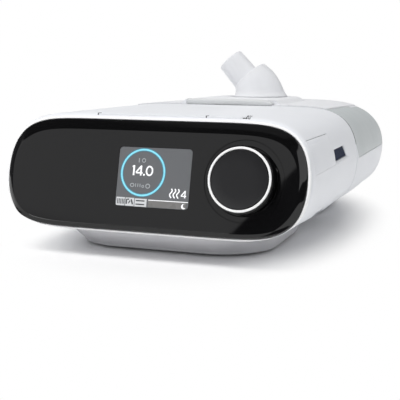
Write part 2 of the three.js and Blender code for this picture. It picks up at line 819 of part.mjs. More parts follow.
function sideDoor() {
  const skin = cut(deviceForm(), loft([casingRing(wall, -60), casingRing(wall, deviceRear + wall)]));
  const leaf = common(
    skin,
    block([door.inner, casing.a + wall], [door.front, door.rear], [door.low, door.axisZ]),
  );
  return cut(
    join(leaf, doorAxisRod(door.barrel, door.front, door.rear)),
    doorAxisRod(door.pin + seat, door.front - past, door.rear + past),
  );
}
add("side_door", sideDoor(), finishes.white);
add("door_pin", doorAxisRod(door.pin, door.front - 2.7, door.rear + 2.7), finishes.steel);

function filterBay() {
  const inside = loft([casingRing(wall + seat, bay.front - 5), casingRing(wall + seat, bay.rear + 5)]);
  const box = common(block([bay.inner, casing.a], [bay.front, bay.rear], [bay.low, bay.high]), inside);
  return cut(
    box,
    block(
      [bay.inner + bayWall, casing.a],
      [bay.front + bayWall, bay.rear - bayWall],
      [bay.low + bayWall, bay.high - bayWall],
    ),
    inletFrame(seat),
    doorAxisRod(door.barrel + running, door.front - past, door.rear + past),
    block(
      [bay.inner - past, bay.inner + 3],
      around(card.mid, card.width / 2 + 0.6),
      around(card.z, card.thickness / 2 + 0.5),
    ),
    block([bay.inner - past, bay.inner + 3], [filter.front + 6, bay.rear - 8], [bay.low + 6, bay.high - 6]),
  );
}
add("filter_bay", filterBay(), finishes.darkPlastic);
add(
  "pollen_filter",
  block(
    [filter.inner, casingHalfWidth(inlet.high) - inlet.frame - seat],
    [filter.front, bay.rear - bayWall - seat],
    [bay.low + bayWall + seat, bay.high - bayWall - seat],
  ),
  finishes.foam,
);
add(
  "sd_socket",
  cut(
    block(
      [bay.inner - socketDepth, bay.inner - seat],
      around(card.mid, card.width / 2 + 2),
      around(card.z, 3),
    ),
    block(
      [card.inner - card.travel - 2, bay.inner],
      around(card.mid, card.width / 2 + seat),
      around(card.z, card.thickness / 2 + seat),
    ),
  ),
  finishes.steel,
);
add(
  "sd_card",
  block([card.inner, card.outer], around(card.mid, card.width / 2), around(card.z, card.thickness / 2)),
  finishes.darkPlastic,
);

function accessoryCover() {
  const skin = cut(deviceForm(), loft([casingRing(wall, -60), casingRing(wall, deviceRear + wall)]));
  return common(skin, coverSpace(0));
}
add("accessory_cover", accessoryCover(), finishes.white);

// Electronics and power inlet

add(
  "main_board",
  cut(
    plate(roundedRing(board), board.z, board.z + boardThickness),
    ...isolator.angles.map((angle) => upright(
      isolator.radius + 2 * seat,
      isolatorAt(angle),
      [board.z - 1, board.z + boardThickness + 1],
    )),
    ...boardScrews.map((at) => upright(screw.hole, at, [board.z - 1, board.z + boardThickness + 1])),
  ),
  finishes.board,
);
boardScrews.forEach(([x, y], i) => {
  const seatZ = board.z + boardThickness + seat;
  add(
    `board_screw_${i + 1}`,
    turned([[0, panFloor + 1], [screw.shank, panFloor + 1], [screw.shank, seatZ], [screw.head, seatZ],
      [screw.head, seatZ + screw.rim], [screw.crown, seatZ + screw.height], [0, seatZ + screw.height]], 16)
      .translate(x, y, 0),
    finishes.steel,
  );
});

function powerSocket() {
  const { radius, flange, sunk, pinIn, end, depth } = powerInlet;
  const face = sunk - casingHalfWidth(powerInlet.z);
  const back = face + depth;
  const at = (x) => [x, powerInlet.y, powerInlet.z];
  const body = join(
    rod(radius, at(face), at(back), 32),
    rod(radius + flange, at(seat - casingHalfWidth(powerInlet.z - radius - flange, wall)), at(back), 32),
  );
  return join(
    cut(body, rod(powerInlet.socket, at(face - past), at(back - end), 32)),
    rod(powerInlet.pin, at(face + pinIn), at(back - pinIn), 12),
  );
}
add("power_inlet", powerSocket(), finishes.darkPlastic);
add(
  "device_connector",
  cut(
    block(
      around(connector.x, connector.width / 2),
      [connector.front, deviceRear - past],
      around(connector.z, connector.height / 2),
    ),
    block(
      around(connector.x, connector.width / 2 - 2),
      [connector.front + 3, deviceRear],
      around(connector.z, connector.height / 2 - 2),
    ),
  ),
  finishes.darkPlastic,
);

// Blower: two volute halves on rubber mounts, a motor below and the impeller on its shaft

const blowerAt = (geometry) => geometry.translate(blower.x, blower.y, 0);
const outletX = around(airway.x, airway.half);

function blowerLower() {
  const outer = join(
    upright(blower.radius, [blower.x, blower.y], [blower.floor, blower.split], ROUND),
    block(outletX, [blower.y, voluteEnd], [airway.z - airway.half, blower.split]),
  );
  return cut(
    outer,
    upright(
      blower.radius - thinWall,
      [blower.x, blower.y],
      [blower.floor + thinWall, blower.split + past],
      ROUND,
    ),
    block(
      [outletX[0] + thinWall, outletX[1] - thinWall],
      [blower.y, voluteEnd + past],
      [airway.z - airway.half + thinWall, blower.split + past],
    ),
    upright(impeller.shaft + running + past, [blower.x, blower.y], [blower.floor - past, blower.split]),
  );
}
function blowerUpper() {
  const low = blower.split + seat;
  const outer = join(
    upright(blower.radius, [blower.x, blower.y], [low, blower.top], ROUND),
    upright(blower.inlet + thinWall, [blower.x, blower.y], [blower.top - 1, blower.top + 3], 32),
    block(outletX, [blower.y, voluteEnd], [low, airway.z + airway.half]),
  );
  return cut(
    outer,
    upright(blower.radius - thinWall, [blower.x, blower.y], [low - past, blower.top - thinWall], ROUND),
    upright(blower.inlet, [blower.x, blower.y], [low, blower.top + 4], 32),
    block(
      [outletX[0] + thinWall, outletX[1] - thinWall],
      [blower.y, voluteEnd + past],
      [low - past, airway.z + airway.half - thinWall],
    ),
  );
}
add("blower_lower", blowerLower(), finishes.darkPlastic);
add("blower_upper", blowerUpper(), finishes.darkPlastic);

function impellerWheel() {
  const { radius, low, high, hub, blades, thickness, shaft } = impeller;
  const core = turned([
    [0, motor.low + 2], [shaft, motor.low + 2],
    [shaft, low], [radius, low], [radius, low + 1.6], [hub, low + 4],
    [hub - 2, high - 4], [0, high - 2],
  ], 32);
  const vanes = [];
  for (let i = 0; i < blades; i++) {
    const vane = new THREE.BoxGeometry(radius - hub + 1, thickness, high - low - 3);
    vane.translate((radius + hub - 1) / 2, 0, (high + low) / 2 - 1.2);
    // Swept back by leaning each vane about its root.
    vane.translate(-hub, 0, 0).rotateZ(-0.5).translate(hub * 0.92, 0, 0);
    vanes.push(vane.rotateZ((2 * Math.PI * i) / blades));
  }
  return blowerAt(common(join(core, ...vanes), upright(radius, [0, 0], [0, high], 32)));
}
add("impeller", impellerWheel(), finishes.silicone);
add(
  "motor",
  blowerAt(cut(
    turned([[0, motor.low], [motor.radius - 2, motor.low], [motor.radius, motor.low + 2],
      [motor.radius, blower.floor - seat], [0, blower.floor - seat]], 32),
    upright(impeller.shaft + seat, [0, 0], [motor.low + 2 - seat, blower.floor], 20),
  )),
  finishes.steel,
);
isolator.angles.forEach((angle, i) => {
  add(
    `isolator_${i + 1}`,
    upright(isolator.radius + 0.4, isolatorAt(angle), [isolator.base + seat, blower.floor - seat]),
    finishes.rubber,
  );
});
add(
  "blower_seal",
  cut(
    block(outletX, [voluteEnd + seat, port.front - seat], around(airway.z, airway.half)),
    rod(airway.bore - 2, [airway.x, voluteEnd - past, airway.z], [airway.x, port.front + past, airway.z], 32),
  ),
  finishes.silicone,
);

// Humidifier casing

const hingeX = [-hinge.middle, hinge.middle];
const hingeRod = (radius, x0, x1) => rod(
  radius,
  [x0, humidifierRear, lidSeam],
  [x1, humidifierRear, lidSeam],
  16,
);
const lidKnuckle = (x, grow) => hingeRod(
  hinge.barrel + grow,
  x - hinge.lidHalf - grow,
  x + hinge.lidHalf + grow,
);
const baseKnuckle = (x, side, grow) => {
  const near = x + side * (hinge.lidHalf + seat);
  const far = x + side * hinge.outerHalf;
  return hingeRod(hinge.barrel + grow, Math.min(near, far) - grow, Math.max(near, far) + grow);
};

function humidifierBase() {
  const rearInside = humidifierRear - wall;
  const shell = cut(
    join(
      cut(humidifierForm(0, humidifierFront, humidifierRear), lidZone(lidGap)),
      cut(panWalls(pedestalBottom, pedestalTop, pedestalFoot, 0), humidifierInside(panSides)),
    ),
    humidifierInside(wall, rearInside),
    plate(roundedRing(pedestalBottom, wall), panFloor, casing.midZ - casing.b),
    upright(heater.radius + seat, [heater.x, heater.y], [panFloor + 1, 20], ROUND),
    ...feetUnder(pedestalBottom).map((at) => upright(foot.radius + seat, at, [0, foot.height + seat])),
  );
  const frontWall = loft([
    casingRing(wall + seat, humidifierFront),
    casingRing(wall + seat, humidifierFront + wall - seat),
  ]);
  const posts = [-1, 1].flatMap((side) =>
    [-1, 1].map((end) =>
      upright(3.5, [heater.x + side * 26, heater.y + end * 26], [panFloor - 1, heaterLow - seat]),
    ),
  );
  const catches = hooks.map((x) =>
    block(around(x, hook.width / 2), [hook.reach, humidifierFront + past], [hook.low, hook.high]),
  );
  const knuckles = hingeX.flatMap((x) => [-1, 1].flatMap((side) => {
    const near = x + side * (hinge.lidHalf + seat);
    const far = x + side * hinge.outerHalf;
    return [
      baseKnuckle(x, side, 0),
      block(
        [Math.min(near, far), Math.max(near, far)],
        [humidifierRear - wall, humidifierRear + 0.6],
        [lidSeam - hingeTab, lidSeam - 1],
      ),
    ];
  }));
  return cut(
    join(shell, frontWall, ...posts, ...catches, ...knuckles),
    rod(
      sealHole,
      [airway.x, humidifierFront - past, airway.z],
      [airway.x, humidifierFront + 6, airway.z],
      ROUND,
    ),
    block(
      plugHoleX,
      [humidifierFront - past, humidifierFront + 6],
      around(connector.z, connector.height / 2 - 1.5),
    ),
    ...hingeX.map((x) => lidKnuckle(x, seat)),
    ...hingeX.map((x) => hingeRod(hinge.pin + seat, x - hinge.outerHalf - past, x + hinge.outerHalf + past)),
  );
}

// The room inside the humidifier's casing.
function humidifierInside(inset, rear = humidifierRear) {
  return humidifierForm(inset, humidifierFront + wall, rear, rearRounding);
}
const heaterLow = casing.midZ - casing.b + 0.9;
const sealHole = airway.bore + 3.2;
const plugHoleX = around(connector.x, connector.width / 2 - 1.5);
add("humidifier_base", humidifierBase(), finishes.white);

function humidifierLid() {
  const raised = common(
    humidifierForm(-lidCrest.raise, humidifierFront, humidifierRear - past, rearRounding + 3),
    block([-lidCrest.half, lidCrest.half], [humidifierFront, humidifierRear - 4], [casing.midZ, sky]),
  );
  const crown = loft(islandSlope.map(([grow, z]) => islandRing(grow, z)));
  const tabs = hingeX.map((x) =>
    block(
      around(x, hinge.lidHalf),
      [humidifierRear - wall, humidifierRear + 0.6],
      [lidSeam + 1, lidSeam + hingeTab],
    ),
  );
  const form = common(join(humidifierForm(0, humidifierFront, humidifierRear), raised, crown), lidZone(0));
  return cut(
    join(cut(form, loft(insideRings())), ...hingeX.map((x) => lidKnuckle(x, 0)), ...tabs),
    block(
      [-latch.half - running, latch.half + running],
      [humidifierFront - past, latchRoom.rear],
      [latchRoom.low, sky],
    ),
    block(
      [-latchHook.half - running, latchHook.half + running],
      [humidifierFront - past, latchRoom.slotRear],
      [latchRoom.slotLow, sky],
    ),
    rod(latch.pin + seat, [-latch.half - latchRoom.pinEnd, latch.axisY, latch.axisZ],
      [latch.half + latchRoom.pinEnd, latch.axisY, latch.axisZ], 12),
    upright(elbow.neck + elbow.sealRoom, [0, elbow.y], [tankOutlet.top, sky], ROUND),
    ...hingeX.flatMap((x) => [-1, 1].map((side) => baseKnuckle(x, side, seat))),
    ...hingeX.map((x) => hingeRod(hinge.pin + seat, x - hinge.outerHalf - past, x + hinge.outerHalf + past)),
  );
}
// The raised island behind the latch, square at its front and rounded at its rear.
function islandRing(grow, z) {
  const { half, rear, corner } = island;
  return roundedRing({ half: half + grow, front: humidifierFront - 60, rear: rear + grow, corner }).map(
    ([x, y]) => [x, Math.max(y, humidifierFront), z],
  );
}
// The lid's inside is open at the front, where the base's own wall closes it.
function insideRings() {
  const rear = humidifierRear - wall;
  return [
    casingRing(wall, humidifierFront - 2),
    casingRing(wall, rear - rearRounding),
    casingRing(wall + rearRounding * 0.3, rear - rearRounding * 0.3),
    casingRing(wall + rearRounding, rear),
  ];
}
add("humidifier_lid", humidifierLid(), finishes.lidWhite);
hingeX.forEach((x, i) => {
  const reach = hinge.outerHalf - 0.2;
  add(`hinge_pin_${i + 1}`, hingeRod(hinge.pin, x - reach, x + reach), finishes.steel);
});

function lidLatch() {
  const { half, front, rear, low, top, axisY, axisZ } = latch;
  const bar = across(
    [
      [front, low], [rear, low], [rear, top - 1.4], [rear - 1.6, top - 0.4],
      [front + 2.4, top], [front + 0.8, top - 0.4], [front, top - 1.2],
    ],
    [-half, half],
  );
  return cut(
    join(
      bar,
      block(around(0, latchHook.half), [latchHook.front, latchHook.rear], [latchHook.low, low + past]),
    ),
    rod(latch.pin + seat, [-half - past, axisY, axisZ], [half + past, axisY, axisZ], 12),
  );
}
add("lid_latch", lidLatch(), finishes.latchGrey);
add(
  "latch_pin",
  rod(latch.pin, [-latch.half - 2, latch.axisY, latch.axisZ], [latch.half + 2, latch.axisY, latch.axisZ], 12),
  finishes.steel,
);
add(
  "lid_seal",
  washer(
    elbow.neck + seat,
    elbow.neck + elbow.sealRoom - seat,
    tankOutlet.top + seat,
    island.top - sealBelow,
  ).translate(0, elbow.y, 0),
  finishes.silicone,
);

// Outlet elbow: a leaning bell on a round base, with the hose connector coming out of its mouth

const lean = THREE.MathUtils.degToRad(elbow.lean);
const tubeAxis = new THREE.Vector3(-Math.sin(lean), 0, Math.cos(lean));
const tubeSide = new THREE.Vector3(Math.cos(lean), 0, Math.sin(lean));
const tubePoint = (along) =>
  new THREE.Vector3(
    0,
    elbow.y,
    tube.from,
  ).addScaledVector(tubeSide, tube.offset).addScaledVector(tubeAxis, along).toArray();

function bellRing(share, shrink = 0) {
  const turn = lean * share;
  const radius = elbow.base + (elbowMouth.radius - elbow.base) * share - shrink;
  const drift = share ** 2;
  const centre = [elbowMouth.x * drift, elbow.y, elbow.low + (elbowMouth.z - elbow.low) * share];
  const points = [];
  for (let i = 0; i < ROUND; i++) {
    const angle = (2 * Math.PI * i) / ROUND;
    const across = radius * Math.cos(angle);
    points.push([
      centre[0] + across * Math.cos(turn),
      centre[1] + radius * Math.sin(angle),
      centre[2] + across * Math.sin(turn),
    ]);
  }
  return points;
}
function outletElbow() {
  const lift = (ring, along) => ring.map(([x, y, z]) => [x + tubeAxis.x * along, y, z + tubeAxis.z * along]);
  const bell = loft([
    bellRing(0, 0.5),
    bellRing(0.04),
    bellRing(0.25, 0.6),
    bellRing(0.5, 0.4),
    bellRing(0.75),
    bellRing(1, 0.4),
    lift(bellRing(1, 1.6), 1.2),
  ]);
  const { neckLow, turnZ } = elbow;
  return cut(
    join(
      bell,
      upright(elbow.neck, [0, elbow.y], [neckLow, elbow.low + 2], 32),
      rod(tube.root, tubePoint(tube.start), tubePoint(tube.length - tube.chamfer), 32, tube.tip),
      rod(
        tube.tip,
        tubePoint(tube.length - tube.chamfer),
        tubePoint(tube.length),
        32,
        tube.tip - tube.chamfer,
      ),
    ),
    upright(elbow.bore, [0, elbow.y], [neckLow - past, turnZ], 32),
    new THREE.SphereGeometry(elbow.bore, 24, 12).translate(0, elbow.y, turnZ),
    rod(tube.bore, [0, elbow.y, turnZ], tubePoint(tube.length + 2), 32),
  );
}
add("outlet_elbow", outletElbow(), finishes.lidWhite);

// Water tank, heater and the seals between them

const tankShape = { half: tank.half, front: tank.front, rear: tank.rear, corner: tank.corner };
function tankLower() {
  return cut(
    plate(roundedRing(tankShape), tank.low, tank.rim),
    plate(roundedRing(tankShape, thinWall), tank.low + thinWall, tank.rim + past),
    upright(tankPlate.radius + seat, [heater.x, heater.y], [tank.low - past, tank.rim], ROUND),
  );
}
add("tank_lower", tankLower(), finishes.clear);
add(
  "tank_plate",
  turned([
    [0, tank.low], [tankPlate.radius, tank.low], [tankPlate.radius, tank.low + thinWall + seat],
    [tankPlate.flange, tank.low + thinWall + seat],
    [tankPlate.flange, tank.low + thinWall + seat + tankPlate.flangeThickness],
    [0, tank.low + thinWall + seat + tankPlate.flangeThickness],
  ]).translate(heater.x, heater.y, 0),
  finishes.aluminium,
);
add(
  "heater_plate",
  turned([
    [0, heaterLow], [heater.radius, heaterLow], [heater.radius, heaterLow + heater.thickness - seat],
    [0, heaterLow + heater.thickness - seat],
  ]).translate(heater.x, heater.y, 0),
  finishes.aluminium,
);
const sealTop = tank.rim + seat + tank.seal;
add(
  "tank_seal",
  cut(
    plate(roundedRing(tankShape, 0.3), tank.rim + seat, sealTop),
    plate(roundedRing(tankShape, thinWall + 1.2), tank.rim, sealTop + past),
  ),
  finishes.silicone,
);
function tankUpper() {
  const low = sealTop + seat;
  return cut(
    join(
      plate(roundedRing(tankShape), low, tank.top),
      upright(tankOutlet.outer, [0, elbow.y], [tank.top - 1, tankOutlet.top], 32),
      rod(
        airway.bore + 0.2,
        [airway.x, tank.front - 1.6, airway.z],
        [airway.x, tank.front + 1, airway.z],
        32,
      ),
    ),
    plate(roundedRing(tankShape, thinWall), low - past, tank.top - thinWall),
    upright(tankOutlet.bore, [0, elbow.y], [tank.top - 5, tankOutlet.top + past], 32),
    rod(airway.bore - past, [airway.x, tank.front - 3, airway.z], [airway.x, tank.front + 5, airway.z], 32),
  );
}
add("tank_upper", tankUpper(), finishes.clear);
add(
  "inlet_seal",
  cut(
    rod(sealHole - seat, [airway.x, deviceRear + 0.1, airway.z], [airway.x, tank.front - 1.9, airway.z], 32),
    rod(airway.bore, [airway.x, deviceRear - past, airway.z], [airway.x, tank.front, airway.z], 32),
  ),
  finishes.silicone,
);
add(
  "humidifier_connector",
  join(
    block(
      around(connector.x, connector.width / 2 - 2.4),
      [connector.front + 5, humidifierFront + wall + past],
      around(connector.z, connector.height / 2 - 2.4),
    ),
    block(
      around(connector.x, connector.width / 2),
      [humidifierFront + wall + seat, humidifierFront + wall + 3],
      around(connector.z, connector.height / 2),
    ),
  ),
  finishes.darkPlastic,
);

// Rubber feet

for (const [unit, places] of [["device", feetUnder(panBottom)], ["humidifier", feetUnder(pedestalBottom)]])
  places.forEach(([x, y], i) => {
    add(
      `${unit}_foot_${i + 1}`,
      turned(
        [[0, 0], [foot.radius - 0.8, 0], [foot.radius, 0.8], [foot.radius, foot.height], [0, foot.height]],
        24,
      )
        .translate(x, y, 0),
      finishes.rubber,
    );
  });

// The origin goes under the middle of the whole object: from the dial's lower edge to the hinge's barrel.
const dialLowest = new THREE.Vector3(0, dial.v - dial.radius + ringRounding, dial.front)
  .applyMatrix4(panelGroup.matrixWorld);
const frontmost = dialLowest.y;
const rearmost = humidifierRear + hinge.barrel;
machine.position.y = -(frontmost + rearmost) / 2;
const placed = new THREE.Group();
placed.add(machine);

export default placed;
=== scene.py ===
"""Looks of a bilevel positive airway pressure machine with a docked humidifier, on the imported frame."""
import math

import bmesh
import bpy
import numpy as np
from mathutils import Matrix, Vector
from mathutils.bvhtree import BVHTree


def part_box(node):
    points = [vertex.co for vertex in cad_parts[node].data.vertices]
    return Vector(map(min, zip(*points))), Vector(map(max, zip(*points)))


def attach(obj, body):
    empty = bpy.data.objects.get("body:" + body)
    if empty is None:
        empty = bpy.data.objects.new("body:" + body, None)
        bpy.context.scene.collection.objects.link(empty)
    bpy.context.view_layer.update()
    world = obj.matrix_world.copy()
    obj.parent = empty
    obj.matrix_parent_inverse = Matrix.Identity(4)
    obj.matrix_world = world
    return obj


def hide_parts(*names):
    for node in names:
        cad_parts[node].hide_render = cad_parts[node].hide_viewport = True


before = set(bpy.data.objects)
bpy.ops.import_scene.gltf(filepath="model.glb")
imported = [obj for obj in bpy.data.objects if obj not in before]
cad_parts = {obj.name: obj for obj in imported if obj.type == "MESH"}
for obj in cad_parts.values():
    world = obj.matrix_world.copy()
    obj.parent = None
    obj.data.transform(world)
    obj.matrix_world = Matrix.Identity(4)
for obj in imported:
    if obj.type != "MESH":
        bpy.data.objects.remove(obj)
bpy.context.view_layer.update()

# Sizes are in millimetres from the front lip: X right, Y back, Z up.
# The frame's origin lies OFFSET behind it.
OFFSET = 143.046
TILT = math.radians(13.6)
CASING = (96.5, 36.15, 8.3, 2.0)
CASING_MID = 47.95
PANEL = (93.85, 32.77, 8.4, 2.17)
FACE = (89.2, 27.95, 8.4, 2.3)
FACE_V = -2.15
PANEL_Y = 10.7
PANEL_Z = 48.76
SHOULDER = 5.6
LIP = 0.3
DEVICE_REAR = 157.7
REAR_EDGE = 1.1
HUM_FRONT = 158.3
HUM_REAR = 289.4
REAR_ROUND = 4.9
WALL = 2.6
SEAM_Z = 48.4
# Steps in a quarter of an outline
QUARTER = 40
# The underside rises towards the front: how far the lower half is lifted at each depth.
LIFT_Y = (5, 60, 90, 130, 158, 200)
LIFT = (3.2, 3.0, 2.3, 1.9, 1.1, 0.0)


def place(points):
    """Front-lip millimetres to metres in the frame."""
    out = np.array(points, dtype=float).reshape(-1, 3)
    out[:, 1] -= OFFSET
    return out * 0.001


# Camera
EYE = (195.03693, -443.13506, 113.24505)
RIGHT = (0.94225665, 0.33481525, 0.00715173)
UP = (-0.04876171, 0.11603769, 0.99204715)
BACK = (0.33132265, -0.93511176, 0.12566345)
camera_data = bpy.data.cameras.new("camera")
camera = bpy.data.objects.new("camera", camera_data)
bpy.context.collection.objects.link(camera)
camera.matrix_world = Matrix([*zip(RIGHT, UP, BACK, place(EYE)[0]), (0, 0, 0, 1)])
camera_data.lens = 76.66
camera_data.sensor_width = 36
camera_data.shift_x = -0.01198
camera_data.shift_y = -0.06753
camera_data.clip_start = 0.01
camera_data.clip_end = 50
bpy.context.scene.camera = camera


# Outlines, each a row of points

def around(steps):
    return np.linspace(0, 2 * math.pi, steps, endpoint=False)


def ellipse(u, v, half_u, half_v, angle):
    return np.column_stack([u + half_u * np.cos(angle), v + half_v * np.sin(angle)])


def quarter_turn(count):
    """Sine and cosine in even steps from 0 to 90 degrees."""
    return [(math.sin(math.radians(t)), math.cos(math.radians(t))) for t in np.linspace(0, 90, count)]


def quarter(a, b, p, q):
    half_z = b * 0.5 ** (1 / q)
    half_x = a * 0.5 ** (1 / p)
    z = np.linspace(0, half_z, 161)
    x = np.linspace(half_x, 0, 161)[1:]
    fine = np.vstack([
        np.column_stack([a * (1 - (z / b) ** q) ** (1 / p), z]),
        np.column_stack([x, b * (1 - (x / a) ** p) ** (1 / q)]),
    ])
    step = np.diff(fine, axis=0)
    heading = np.arctan2(step[:, 1], step[:, 0])
    turning = np.abs(np.diff(np.concatenate([[math.pi / 2], heading])))
    measure = np.concatenate([[0], np.cumsum(np.hypot(step[:, 0], step[:, 1]) + 30 * turning)])
    goal = np.linspace(0, measure[-1], QUARTER + 1)
    points = np.column_stack([np.interp(goal, measure, fine[:, k]) for k in (0, 1)])
    points[0, 1] = 0
    points[-1, 0] = 0
    return points


def outline(shape, grow=0.0):
    a, b, p, q = shape
    one = quarter(a + grow, b + grow, p, q)
    two = one[:-1][::-1] * (-1, 1)
    three = one[1:] * (-1, -1)
    four = one[1:-1][::-1] * (1, -1)
    return np.vstack([one, two, three, four])


def lifted(x, z, mid, y, share=1.0):
    """Heights with the lower half drawn up, and its front corners a little more."""
    corner = 0.07 * np.clip((np.abs(x) - 58) / 28, 0, 1) ** 1.5 * np.interp(y, (20, 60), (1, 0))
    factor = 1 - share * (np.interp(y, LIFT_Y, LIFT) / CASING[1] + corner)
    return np.where(z < mid, mid - (mid - z) * factor, z)


def casing_ring(inset, y):
    flat = outline(CASING, -inset)
    rear = np.interp(y, (HUM_FRONT, 287), (CASING[2], 5.2))
    upper = outline((CASING[0], CASING[1], rear, CASING[3]), -inset)
    flat = np.where((flat[:, 1] > 0)[:, None], upper, flat)
    height = lifted(flat[:, 0], flat[:, 1] + CASING_MID, CASING_MID, y)
    return np.column_stack([flat[:, 0], np.full(len(flat), float(y)), height])


def panel_plane(z):
    return PANEL_Y + (z - PANEL_Z) * math.tan(TILT)


def front_ring(share, depth, grow=0.0):
    flat = (PANEL[0], PANEL[1] * math.cos(TILT), PANEL[2], PANEL[3])
    shape = [f + share * (c - f) for f, c in zip(flat, CASING)]
    mid = PANEL_Z + share * (CASING_MID - PANEL_Z)
    points = outline(shape, grow)
    height = lifted(points[:, 0], points[:, 1] + mid, mid, 5.0, share)
    return np.column_stack([points[:, 0], panel_plane(height) + depth, height])


def in_panel(points):
    """Panel coordinates (u across, v up the panel, h out of it) to front-lip millimetres."""
    p = np.array(points, dtype=float).reshape(-1, 3)
    u, v, h = p[:, 0], p[:, 1], p[:, 2]
    return np.column_stack([
        u,
        PANEL_Y + v * math.sin(TILT) - h * math.cos(TILT),
        PANEL_Z + v * math.cos(TILT) + h * math.sin(TILT),
    ])


def panel_ring(share, h, grow=0.0):
    shape = [o + share * (f - o) for o, f in zip(PANEL, FACE)]
    points = outline(shape, grow)
    return in_panel(at_height(points + (0, share * FACE_V), h))


def rounded(half, front, rear, corner, inset=0.0, steps=18):
    radius = corner - inset
    points = []
    for cx, cy, start in (
        (half - corner, rear - corner, 0),
        (corner - half, rear - corner, 90),
        (corner - half, front + corner, 180),
        (half - corner, front + corner, 270),
    ):
        angle = np.radians(start + np.linspace(0, 90, steps + 1))
        points.append(ellipse(cx, cy, radius, radius, angle))
    return np.vstack(points)


def rounded_box(u, v, width, height, corner):
    return rounded(width / 2, -height / 2, height / 2, corner, 0, 8) + (u, v)


def at_height(flat, z):
    return np.column_stack([flat, np.full(len(flat), z, dtype=float)])


def at_x(x, flat):
    return np.column_stack([np.full(len(flat), x, dtype=float), flat])


def casing_half(z, inset=0.0):
    rise = np.minimum(1.0, np.abs(np.asarray(z, dtype=float) - CASING_MID) / (CASING[1] - inset))
    return (CASING[0] - inset) * (1 - rise ** CASING[3]) ** (1 / CASING[2])


def casing_top(x, inset=0.0):
    share = np.minimum(1.0, np.abs(np.asarray(x, dtype=float)) / (CASING[0] - inset))
    return CASING_MID + (CASING[1] - inset) * (1 - share ** CASING[2]) ** (1 / CASING[3])


# Meshes as (points, faces)

def skin(rings, ends=True):
    """The skin through rings of as many points each, capped at both ends, or closed on itself."""
    count = len(rings[0])
    points = np.vstack(rings)
    total = len(rings)
    faces = []
    for r in range(total if not ends else total - 1):
        here = r * count
        there = ((r + 1) % total) * count
        for i in range(count):
            j = (i + 1) % count
            faces.append((here + i, here + j, there + j, there + i))
    if ends:
        faces.append(tuple(range(count))[::-1])
        faces.append(tuple((total - 1) * count + i for i in range(count)))
    return points, faces


def turned(profile, steps=96, closed=False):
    """A profile of (radius, height) points turned about the upright axis."""
    angle = around(steps)
    rings = []
    for radius, height in profile:
        radius = max(radius, 1e-4)
        rings.append(at_height(ellipse(0, 0, radius, radius, angle), height))
    return skin(rings, ends=not closed)


def turned_at(centre, profile, steps=96):
    points, faces = turned(profile, steps)
    return points + (*centre, 0), faces


def rod(radius, start, end, steps=32):
    start, end = np.array((start, end), dtype=float)
    axis = (end - start) / np.linalg.norm(end - start)
    side = np.cross(axis, (0, 1, 0) if abs(axis[1]) < 0.9 else (1, 0, 0))
    side /= np.linalg.norm(side)
    other = np.cross(axis, side)
    angle = around(steps)[:, None]
    ring = np.cos(angle) * side + np.sin(angle) * other
    return skin([start + radius * ring, end + radius * ring])


def slab(x, y, z):
    points = [(a, b, c) for a in x for b in y for c in z]
    faces = [(0, 1, 3, 2), (4, 6, 7, 5), (0, 4, 5, 1), (2, 3, 7, 6), (0, 2, 6, 4), (1, 5, 7, 3)]
    return np.array(points, dtype=float), faces


def patch(grid_out, grid_in):
    """A closed plate between two grids of points."""
    rows, columns = grid_out.shape[:2]
    points = np.vstack([grid_out.reshape(-1, 3), grid_in.reshape(-1, 3)])
    shift = rows * columns
    faces = []
    for r in range(rows - 1):
        for c in range(columns - 1):
            a = r * columns + c
            faces.append((a, a + 1, a + columns + 1, a + columns))
            faces.append((a + shift, a + columns + shift, a + columns + 1 + shift, a + 1 + shift))
    rim = list(range(columns))
    rim += [r * columns + columns - 1 for r in range(1, rows)]
    rim += [(rows - 1) * columns + c for c in range(columns - 2, -1, -1)]
    rim += [r * columns for r in range(rows - 2, 0, -1)]
    for i, a in enumerate(rim):
        b = rim[(i + 1) % len(rim)]
        faces.append((a, a + shift, b + shift, b))
    return points, faces


def plate(y, z, outer, inner):
    """A plate between two surfaces, each giving x at a height z."""
    return patch(*(np.array([[(float(side(v)), w, v) for w in y] for v in z]) for side in (outer, inner)))


def new_object(name, shape):
    mesh = bpy.data.meshes.new(name)
    mesh.from_pydata([tuple(p) for p in place(shape[0])], [], [tuple(f) for f in shape[1]])
    work = bmesh.new()
    work.from_mesh(mesh)
    bmesh.ops.remove_doubles(work, verts=work.verts, dist=1e-6)
    bmesh.ops.recalc_face_normals(work, faces=work.faces)
    work.to_mesh(mesh)
    work.free()
    mesh.update()
    made = bpy.data.objects.new(name, mesh)
    bpy.context.collection.objects.link(made)
    return made


def bake(made):
    depsgraph = bpy.context.evaluated_depsgraph_get()
    mesh = bpy.data.meshes.new_from_object(made.evaluated_get(depsgraph))
    made.modifiers.clear()
    old = made.data
    made.data = mesh
    bpy.data.meshes.remove(old)
    mesh.name = made.name


CUT = "DIFFERENCE"
JOIN = "UNION"


def combine(made, steps):
    """Applies boolean steps, each (operation, shape)."""
    tools = []
    for operation, shape in steps:
        tool = new_object("tool", shape) if isinstance(shape, tuple) else shape
        tools.append(tool)
        step = made.modifiers.new("step", "BOOLEAN")
        step.operation = operation
        step.object = tool
        step.solver = "MANIFOLD"
    bake(made)
    for tool in tools:
        bpy.data.objects.remove(tool, do_unlink=True)


